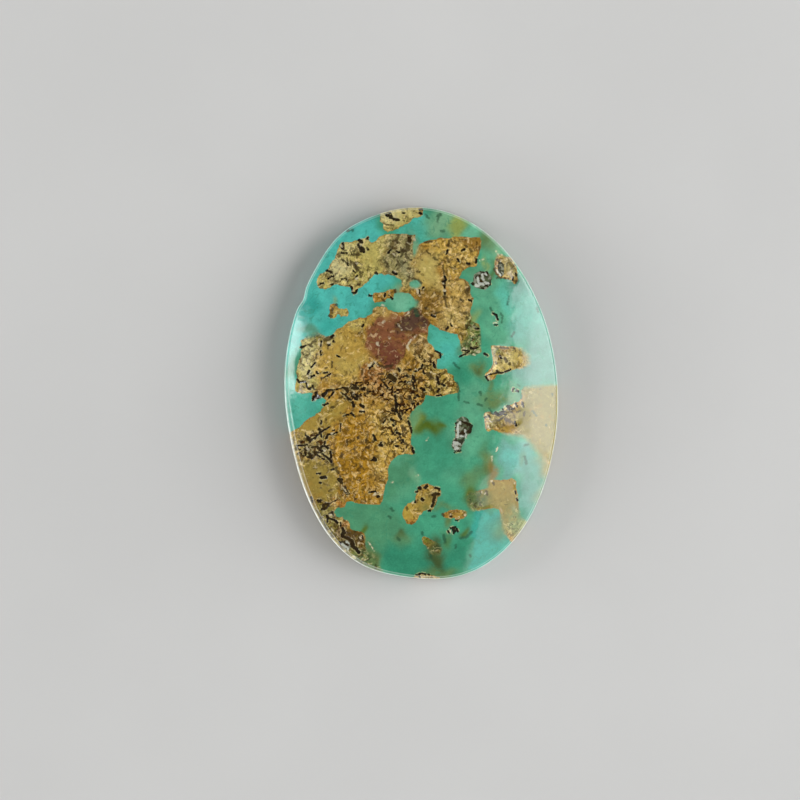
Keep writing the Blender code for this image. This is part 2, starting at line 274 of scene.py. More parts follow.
# Parts of the host rock with a shade of their own: colour, softness of the border, outline
ROCK_ZONES = {
    "crown": ("khaki", 0.3, [(-3.0, 12.9), (1.2, 13.4), (1.2, 15.6), (-3.0, 15.6)]),
    "upper left": ("khaki", 0.4, [
        (-8.2, 8.6), (-4.0, 8.2), (-3.4, 9.6), (-4.2, 10.4), (-4.0, 12.9), (-6.4, 12.9)]),
    "smooth strip": ("khaki", 0.2, [
        (-4.2, 12.4), (-3.0, 13.2), (-2.3, 13.0), (-2.3, 11.8), (-2.5, 10.4), (-3.3, 9.6), (-4.3, 10.2),
        (-4.1, 11.2)]),
    "grey middle": ("stone grey", 0.4, [
        (-2.4, 13.1), (0.3, 13.1), (0.2, 11.0), (-0.1, 9.2), (-1.3, 8.6), (-2.6, 9.5), (-2.4, 11.4)]),
    "right block": ("gold", 0.25, [
        (0.4, 12.6), (5.6, 12.6), (5.4, 9.9), (3.8, 9.4), (2.2, 9.6), (1.9, 10.6), (1.2, 11.6)]),
    "block corner": ("brown", 0.15, [
        (4.0, 12.5), (4.1, 11.9), (4.6, 11.4), (5.1, 10.9), (5.7, 10.9), (5.7, 12.6)]),
    "block top": ("brown", 0.12, [(0.7, 12.6), (0.9, 12.1), (2.0, 12.15), (3.3, 12.3), (3.3, 12.7)]),
    "tan middle": ("tan", 0.3, [
        (0.2, 11.6), (1.2, 11.6), (1.9, 10.4), (2.2, 9.2), (2.1, 7.8), (0.9, 8.4), (-0.1, 9.6), (0.0, 10.8)]),
    "grey brown middle": ("brown", 0.3, [
        (-0.2, 8.3), (1.2, 8.5), (2.1, 7.8), (2.0, 6.6), (1.0, 5.9), (0.3, 6.4), (0.1, 7.4)]),
    "lower right": ("tan", 0.4, [
        (2.4, 9.4), (4.5, 8.8), (4.4, 6.0), (4.2, 5.2), (2.4, 4.7), (1.2, 5.2), (1.9, 6.4), (2.3, 7.8)]),
    "green band": ("fog green", 0.3, [
        (4.2, 6.2), (4.0, 5.0), (3.2, 4.4), (3.1, 2.7), (5.1, 2.7), (5.1, 5.4), (4.6, 6.4)]),
    "lobe": ("gold", 0.3, [
        (-8.3, 4.6), (-7.4, 5.0), (-5.8, 5.9), (-4.5, 6.4), (-3.8, 6.4), (-4.1, 5.0), (-4.2, 3.0),
        (-4.9, 1.4), (-7.2, 1.1), (-8.4, 1.9)]),
    "lobe, left side": ("khaki", 0.4, [
        (-10.4, 0.4), (-9.8, 4.0), (-9.4, 5.1), (-8.2, 5.0), (-8.4, 2.4), (-8.4, 1.2), (-8.9, 0.5)]),
    "plum": ("red brown", 0.14, [
        (-3.95, 4.9), (-4.15, 4.2), (-4.0, 3.2), (-3.3, 2.6), (-2.6, 2.1), (-1.9, 2.3), (-1.4, 2.9),
        (-1.0, 3.4), (-0.5, 3.8), (0.0, 4.4), (0.7, 5.0), (0.8, 5.8), (0.4, 6.7), (-0.3, 7.1), (-1.5, 6.6),
        (-2.4, 6.3), (-3.3, 6.1), (-3.9, 5.6)]),
    "dark plum": ("plum", 0.2, [
        (-1.95, 5.8), (-1.2, 6.6), (-0.3, 7.0), (0.5, 6.6), (0.75, 5.9), (0.6, 5.3), (0.0, 5.0),
        (-0.8, 4.9), (-1.6, 5.1)]),
    "brick": ("brick", 0.2, [
        (-3.3, 4.0), (-3.4, 3.0), (-2.8, 2.45), (-2.0, 2.4), (-1.4, 3.1), (-1.5, 3.9), (-2.2, 4.35),
        (-2.9, 4.35)]),
    "rosy edge": ("tan", 0.35, [
        (-0.9, 3.2), (-0.4, 3.8), (0.2, 4.4), (0.8, 4.9), (1.0, 4.0), (1.9, 3.2), (1.2, 2.6), (0.0, 2.6)]),
    "rust patch": ("rust", 0.16, [
        (-4.4, 2.6), (-4.75, 1.6), (-4.2, 1.0), (-3.2, 1.1), (-2.7, 1.9), (-3.1, 2.5), (-3.9, 2.3)]),
    "heart, right": ("dusty ochre", 0.35, [
        (0.3, 2.6), (0.5, 0.8), (0.2, -0.3), (3.1, -0.3), (3.2, 0.9), (2.2, 2.1)]),
    "west": ("dusty ochre", 0.4, [
        (-11.0, -2.2), (-9.0, -1.2), (-7.9, -0.5), (-6.4, 0.2), (-5.7, -0.6), (-6.4, -1.3), (-7.4, -1.9),
        (-8.2, -2.6), (-9.3, -3.2), (-10.9, -3.4)]),
    "field": ("deep ochre", 0.6, [
        (-7.4, -2.3), (-6.4, -1.8), (-5.2, -1.5), (-4.2, -1.8), (-3.8, -3.0), (-3.4, -4.6), (-3.6, -6.0),
        (-4.0, -8.6), (-6.5, -8.4), (-7.0, -6.2), (-7.4, -4.4)]),
    "field, east": ("gold", 0.6, [
        (-4.0, -1.0), (-2.4, -1.7), (-0.8, -1.4), (-0.7, -4.9), (-2.6, -5.2), (-3.0, -6.4), (-3.8, -6.2),
        (-3.6, -3.6)]),
    "black corner": ("grey khaki", 0.3, [
        (-10.9, -3.4), (-9.3, -3.0), (-7.8, -2.7), (-7.3, -4.0), (-7.6, -4.7), (-8.6, -4.8), (-10.8, -4.6)]),
    "slab": ("grey khaki", 0.2, [
        (-11.2, -4.7), (-9.0, -4.8), (-7.8, -4.7), (-7.2, -5.6), (-6.9, -6.9), (-6.6, -8.0), (-7.4, -8.4),
        (-8.7, -8.1), (-10.2, -7.8)]),
    "foot strip": ("olive khaki", 0.3, [
        (-10.4, -7.8), (-8.7, -8.1), (-7.4, -9.0), (-6.4, -10.4), (-6.0, -12.2), (-5.0, -13.2),
        (-4.0, -15.0), (-8.0, -13.0)]),
    "foot crevice": ("dark brown", 0.2, [
        (-7.0, -9.8), (-6.2, -10.3), (-4.9, -10.8), (-4.9, -12.6), (-5.8, -12.7), (-6.4, -11.6),
        (-7.2, -10.8)]),
    "right rock": ("olive khaki", 0.35, [
        (7.6, 0.6), (12.0, 0.6), (12.0, -7.0), (8.0, -4.8), (7.4, -3.2), (7.8, -1.4)]),
    "foot edge": ("fog green", 0.4, [(-6.4, -12.6), (-4.6, -12.0), (-3.4, -15.2), (-5.6, -14.4)]),
}

# Broad shades of the host rock: colour, x, y, half sizes, strength
ROCK_SHADES = [
    ("cream", -1.7, 14.6, 1.1, 0.8, 0.9), ("cream", 0.1, 14.6, 0.7, 0.8, 0.35),
    ("khaki", -6.4, 6.5, 0.9, 0.9, 0.8), ("khaki", -5.0, 5.9, 1.0, 0.5, 0.7),
    ("grey khaki", 8.6, -3.0, 1.2, 1.0, 0.6), ("olive khaki", 8.6, -3.2, 0.9, 0.8, 0.8),
    ("khaki", 2.8, 5.8, 0.9, 0.7, 0.2), ("rust", 0.75, 14.45, 0.32, 0.5, 0.9),
    ("cream", -4.9, 12.1, 1.0, 0.5, 0.5), ("rust", -6.3, 11.3, 0.22, 0.8, 0.6),
    ("cream", -6.2, 10.6, 1.1, 0.9, 1.0), ("brown", -2.4, 0.7, 2.6, 1.2, 0.45),
    ("rust", -3.4, 0.9, 1.0, 0.8, 0.5), ("khaki", 2.0, 2.4, 1.0, 1.0, 0.3),
    ("silver", -0.5, 10.0, 0.7, 1.0, 0.5), ("khaki", -1.0, 9.0, 0.8, 0.6, 0.4),
    ("khaki", 1.1, 9.7, 1.0, 1.6, 0.6), ("rust", 2.3, 9.3, 0.2, 1.6, 0.45),
    ("gold", 3.2, 7.9, 0.8, 0.9, 0.5), ("dark brown", 4.25, 7.9, 0.3, 1.0, 0.7),
    ("bright olive", 4.2, 3.6, 0.5, 0.5, 0.5), ("olive", 4.4, 4.6, 0.9, 1.0, 0.35),
    ("olive", 4.7, 4.9, 0.35, 0.6, 0.6), ("tan", -3.0, 6.7, 1.0, 0.6, 1.0),
    ("khaki", -5.5, 2.6, 1.3, 0.7, 0.35), ("red brown", -4.0, 3.4, 0.4, 0.8, 0.5),
    ("dark brown", -0.1, 4.4, 0.5, 0.5, 0.35), ("cream", -9.0, 3.6, 0.9, 1.5, 0.75),
    ("cream", -9.55, 2.7, 0.4, 0.6, 0.7), ("yellow ochre", -9.5, 1.0, 0.7, 0.4, 0.8),
    ("fog green", -8.5, 5.15, 1.0, 0.35, 0.7), ("brown", -4.35, 5.15, 0.4, 0.55, 0.8),
    ("slate", -7.1, 4.8, 0.55, 0.38, 0.85), ("khaki", -6.6, 4.6, 1.0, 0.6, 0.3),
    ("khaki", 2.7, 0.25, 0.4, 0.35, 0.8), ("red brown", 0.1, 3.9, 0.5, 0.5, 0.3),
    ("khaki", -10.2, -3.3, 0.5, 0.5, 0.5), ("dark brown", -6.2, -1.5, 0.5, 0.3, 0.4),
    ("gold", -3.6, -1.0, 1.0, 0.6, 0.4), ("tan", -3.9, -6.6, 0.6, 1.3, 0.5),
    ("rust", -6.9, -8.4, 0.6, 0.3, 0.7), ("rust", -6.6, -9.9, 0.35, 0.3, 0.7),
    ("slate", -6.8, -11.9, 0.6, 0.6, 0.6), ("brown", -9.3, -7.9, 0.6, 1.2, 0.5),
    ("slate", -5.6, -13.0, 0.6, 0.5, 0.5), ("grey khaki", 0.0, -8.3, 1.3, 1.4, 1.0),
    ("fog green", 0.2, -9.0, 0.5, 0.4, 0.5), ("yellow ochre", -1.45, -9.3, 0.6, 0.85, 1.0),
    ("tan", -0.7, -9.35, 0.3, 0.25, 0.7), ("rust", -1.4, -10.15, 0.35, 0.22, 0.8),
    ("brown", 2.1, -9.7, 1.1, 0.5, 0.9), ("gold", 2.5, -9.5, 0.4, 0.2, 0.6),
    ("olive", -0.2, -11.6, 0.6, 0.5, 0.8), ("dark fog", 0.5, -12.4, 0.9, 0.8, 0.95),
    ("dull khaki", 7.0, 2.3, 1.6, 1.4, 0.9), ("cream", 6.9, 2.5, 0.8, 0.7, 0.3),
    ("olive", 6.0, 3.3, 0.4, 0.4, 0.9), ("brown", 7.0, 3.45, 0.8, 0.16, 0.8),
    ("grey khaki", 8.3, 2.6, 0.5, 0.8, 0.6), ("khaki", 5.4, -2.4, 0.5, 0.7, 0.8),
    ("olive khaki", 6.4, -2.3, 1.6, 1.1, 0.9), ("brown", 6.9, -2.9, 0.7, 0.5, 0.6),
    ("olive khaki", 5.9, -8.5, 2.0, 1.8, 1.0), ("tan", 5.9, -8.0, 1.5, 1.2, 0.35),
    ("fog green", 3.8, -8.6, 1.2, 1.1, 1.0), ("dark fog", 3.9, -8.6, 0.9, 1.0, 0.5),
    ("dull green turquoise", 7.0, -10.7, 1.2, 1.2, 0.6), ("stone grey", 7.4, 9.7, 1.0, 1.2, 0.9),
    ("silver", -0.4, -14.7, 1.3, 0.4, 0.7),
]

# Parts of the turquoise with a shade of their own: colour, softness of the border, outline
BLUE_ZONES = {
    "left": ("sky turquoise", 0.6, [
        (-11.5, 2.0), (-11.5, 15.0), (-2.9, 15.5), (-2.6, 12.0), (-1.3, 9.6), (-3.6, 7.2), (-6.0, 5.2),
        (-9.0, 4.6)]),
    "left notch": ("turquoise", 0.4, [(-11.5, 2.0), (-9.0, 1.6), (-7.0, 0.0), (-9.0, -2.0), (-11.8, -3.2)]),
    "under the crown": ("turquoise", 0.4, [
        (-1.6, 12.8), (-0.6, 14.4), (1.2, 14.6), (1.6, 12.2), (0.2, 12.2)]),
    "beside the plum": ("turquoise", 0.3, [
        (0.6, 5.8), (2.6, 5.0), (3.4, 4.4), (3.4, 3.2), (2.9, 2.0), (1.4, 1.8), (0.8, 3.0)]),
    "right band": ("sea green", 0.5, [
        (4.3, 9.9), (6.2, 10.2), (7.6, 8.9), (7.6, 3.4), (5.6, 3.4), (4.9, 5.6), (4.3, 7.0)]),
    "upper right rim": ("sea green", 0.4, [(4.2, 14.2), (5.6, 12.0), (5.2, 9.6), (6.6, 9.4), (8.6, 10.8)]),
    "right shore": ("grey turquoise", 0.7, [
        (7.4, 9.2), (10.0, 9.0), (11.8, 4.0), (11.8, 0.3), (8.4, 0.3), (7.2, 1.4), (8.8, 3.4), (7.6, 4.0)]),
    "middle, right": ("sea green", 0.6, [
        (3.1, 0.6), (5.2, 0.6), (5.0, -3.4), (4.2, -5.0), (2.4, -5.4), (2.2, -2.4), (3.2, -1.0)]),
    "lobes": ("dull green turquoise", 0.5, [
        (-3.2, -4.8), (-1.0, -4.4), (-0.8, -7.2), (-1.8, -8.4), (-3.4, -8.2), (-3.4, -6.2)]),
    "lower left": ("dull green turquoise", 0.8, [
        (-8.0, -8.0), (-3.0, -8.4), (-1.8, -9.6), (-2.4, -13.0), (-5.6, -13.0)]),
    "foot": ("dark green turquoise", 0.8, [
        (-4.0, -12.2), (-1.4, -11.6), (1.0, -13.0), (3.2, -10.6), (3.4, -14.6), (-1.0, -15.4),
        (-4.2, -14.6)]),
    "sky block, foot": ("steel turquoise", 0.22, [
        (3.75, -9.5), (5.9, -9.5), (6.3, -11.0), (7.0, -12.4), (5.4, -13.8), (3.3, -14.4), (3.45, -12.0)]),
    "sky block, right": ("grey turquoise", 0.25, [
        (6.35, -4.0), (8.4, -4.3), (8.8, -6.6), (6.1, -6.9), (5.95, -5.6)]),
    "right foot": ("grey turquoise", 0.6, [
        (8.4, -5.0), (10.8, -6.0), (9.6, -10.4), (7.4, -10.4), (7.4, -7.0)]),
}

# Broad shades of the turquoise and the stains that fade into it: colour, x, y, half sizes, strength
BLUE_SHADES = [
    ("deep turquoise", -8.6, 7.3, 0.8, 1.2, 0.8), ("deep turquoise", -6.9, 6.0, 1.0, 0.7, 0.6),
    ("sky turquoise", 0.5, 13.9, 0.5, 0.4, 0.4), ("sky turquoise", 2.2, 3.2, 0.8, 0.7, 0.5),
    ("dark green turquoise", 1.6, -4.6, 1.3, 1.0, 0.5), ("sea green", 2.2, -6.8, 0.8, 0.8, 0.5),
    ("dark green turquoise", 1.1, -3.2, 0.6, 0.5, 0.4), ("sea green", -1.9, -7.9, 0.9, 0.8, 0.5),
    ("sea green", -2.0, -4.9, 0.8, 0.5, 0.5), ("dark green turquoise", 2.6, -10.4, 0.6, 0.7, 0.4),
    ("dark green turquoise", 5.2, 6.0, 0.6, 0.9, 0.35), ("sky turquoise", 7.0, 7.2, 0.6, 1.2, 0.4),
    ("turquoise", 8.7, 5.8, 1.4, 1.9, 0.6), ("sky turquoise", 7.2, -5.3, 1.1, 1.1, 0.45),
    ("grey khaki", 10.2, -6.2, 0.9, 1.6, 0.8), ("stone grey", 9.6, -8.4, 0.8, 1.4, 0.5),
    ("pale green", 2.3, 13.6, 1.1, 1.5, 0.9), ("bright olive", 3.6, 13.4, 0.65, 1.3, 1.0),
    ("fog green", 6.0, 12.0, 0.9, 0.8, 0.9), ("pale green", 6.9, 11.4, 0.6, 0.8, 0.7),
    ("pale turquoise", 4.8, 12.9, 0.6, 0.9, 0.7), ("dull green turquoise", 4.4, 9.5, 0.7, 0.4, 0.8),
    ("olive", 6.2, 9.8, 0.3, 0.8, 0.7), ("bright olive", 5.5, 10.3, 0.3, 0.6, 0.6),
    ("pale green", 0.1, 11.8, 0.4, 0.9, 0.8), ("pale turquoise", 0.0, 8.8, 0.7, 0.55, 0.9),
    ("pale turquoise", -1.1, 7.6, 1.3, 1.0, 1.0), ("pale green", -1.3, 8.4, 0.5, 0.3, 0.9),
    ("fog green", -8.5, 5.5, 1.0, 0.4, 0.6), ("bright olive", -6.6, 7.9, 0.25, 0.4, 0.5),
    ("bright olive", 4.6, 6.0, 0.4, 0.6, 0.7), ("fog green", 3.4, 3.9, 0.4, 0.7, 0.7),
    ("dark green turquoise", 3.3, 1.6, 0.8, 0.9, 0.9), ("fog green", 4.7, 1.6, 0.7, 0.7, 1.0),
    ("dark fog", 4.6, 1.4, 0.4, 0.4, 0.6), ("olive", 0.55, -2.7, 1.15, 0.6, 1.0),
    ("olive", -0.2, -2.2, 0.3, 0.7, 0.9), ("bright olive", -0.6, -1.9, 0.5, 1.2, 0.4),
    ("olive", 1.4, -2.45, 0.35, 0.16, 0.9), ("fog green", 6.1, -0.7, 1.4, 0.75, 1.0),
    ("pale green", 7.3, -0.6, 0.6, 0.4, 0.5), ("dull green turquoise", 6.9, -0.1, 1.1, 0.6, 0.9),
    ("fog green", 5.4, 0.3, 0.3, 0.8, 0.8), ("fog green", 4.9, -6.0, 0.6, 1.7, 1.0),
    ("brown", 5.2, -6.7, 0.35, 0.9, 0.7), ("olive", 3.6, -8.2, 0.7, 1.0, 1.0),
    ("dark fog", 3.8, -8.6, 1.0, 0.9, 0.5), ("fog green", 3.7, -6.6, 0.8, 0.9, 0.7),
    ("fog green", 1.3, -9.1, 0.9, 0.3, 0.7), ("fog green", 1.8, -10.2, 0.35, 0.5, 0.9),
    ("olive", 3.0, -11.3, 0.6, 0.3, 0.8), ("dark fog", -2.25, -11.2, 0.35, 0.4, 0.8),
    ("fog green", -2.0, -11.5, 0.7, 0.6, 0.5), ("dark fog", 0.3, -12.3, 0.6, 0.8, 0.9),
    ("dark fog", 0.7, -13.3, 0.7, 1.0, 1.0), ("olive", 1.3, -11.6, 0.4, 0.7, 0.6),
    ("fog green", -4.6, -12.7, 0.6, 1.2, 0.8), ("dark fog", -4.8, -12.9, 0.6, 0.8, 0.6),
    ("olive", -5.1, -10.9, 0.3, 0.6, 0.9), ("pale green", -0.7, -6.6, 0.4, 0.8, 0.6),
    ("fog green", 6.3, -11.0, 1.2, 1.2, 0.7), ("fog green", 7.9, -5.6, 0.3, 0.6, 0.5),
    ("fog green", 0.7, -14.4, 1.6, 0.5, 0.8),
]

# How thickly dark grains are strewn in the rock: share, x, y, half sizes
GRAIN_SHARE = 0.42
GRAIN_SHADES = [
    (0.2, -1.2, 14.5, 2.0, 0.8), (0.65, -5.4, 10.4, 2.2, 1.9), (0.05, -6.2, 10.6, 0.7, 0.6),
    (0.15, -3.1, 11.2, 0.8, 1.2), (0.65, -1.2, 11.4, 0.8, 1.6), (0.1, 1.1, 9.8, 1.0, 2.0),
    (0.55, 3.2, 11.0, 1.3, 1.2), (0.1, 4.8, 12.0, 0.7, 0.5), (0.42, 2.8, 6.6, 1.6, 1.4),
    (0.7, 4.5, 4.2, 0.6, 1.6), (0.15, -2.2, 5.0, 2.0, 1.8), (0.05, -2.3, 3.5, 0.8, 0.7),
    (0.08, -0.5, 5.7, 0.8, 0.8), (0.14, -6.0, 3.5, 2.2, 1.6), (0.45, -8.8, 2.6, 1.2, 1.8),
    (1.15, -2.0, 0.1, 2.6, 1.8), (0.85, 0.6, 2.6, 1.1, 1.0), (0.75, 1.5, 0.8, 1.4, 0.9),
    (1.2, -5.2, 0.6, 1.3, 0.8), (0.3, -3.7, -0.7, 1.0, 0.6), (0.12, -6.8, -0.9, 1.2, 0.8),
    (0.05, -9.0, -2.0, 1.1, 0.7), (1.3, -8.7, -3.9, 1.4, 1.1), (0.6, -5.0, -3.6, 1.8, 1.8),
    (0.85, -2.2, -3.0, 1.2, 1.6), (0.5, -5.0, -6.4, 1.7, 1.5), (0.0, -8.6, -6.3, 1.2, 1.5),
    (0.65, -7.6, -9.8, 1.4, 1.4), (0.0, -1.5, -9.3, 0.6, 0.8), (0.0, 0.0, -8.5, 0.5, 0.6),
    (-0.2, 9.7, -2.4, 2.7, 3.6), (0.7, 6.3, -1.9, 1.3, 0.8), (-0.1, 6.0, -8.6, 2.2, 2.2),
]

# Where the border between rock and turquoise is a slow fade: share, x, y, half sizes
FADE_SHADES = [
    (1.0, -8.5, 5.2, 1.0, 0.5), (1.0, -4.4, -13.0, 0.8, 1.6), (0.9, 8.4, 2.6, 0.8, 1.3),
    (1.0, 8.8, -4.6, 2.2, 1.4), (0.8, 9.6, 0.2, 1.6, 0.5), (1.0, 3.6, -8.6, 0.8, 1.2),
    (0.8, 6.6, -10.8, 1.4, 1.4), (0.9, 0.6, -12.5, 0.7, 0.7), (0.7, 4.2, 4.4, 0.9, 1.5),
    (0.5, 0.0, 11.2, 0.3, 0.9), (0.8, 0.2, 7.2, 0.3, 0.5), (0.7, -1.3, 8.4, 0.3, 0.3),
    (0.5, 6.8, 10.7, 0.8, 0.4), (0.8, 7.0, -3.6, 1.2, 0.3), (0.7, -1.0, -1.9, 0.2, 0.6),
    (0.6, 5.2, -7.6, 0.5, 0.5), (0.5, -0.1, 8.8, 0.6, 0.5),
]

# Pockets of metallic grains, whose facets are painted lit and shaded: x, y, half sizes
BRIGHT_POCKETS = {
    "upper right": (5.35, 8.85, 0.70, 0.72),
    "middle": (3.20, -2.75, 0.55, 0.80),
    "below the middle": (2.95, -3.55, 0.34, 0.55),
    "under the middle": (2.62, -4.15, 0.40, 0.50),
    "foot crevice": (-6.75, -11.75, 0.45, 0.45),
    "right edge": (6.9, 9.7, 0.25, 0.6),
}
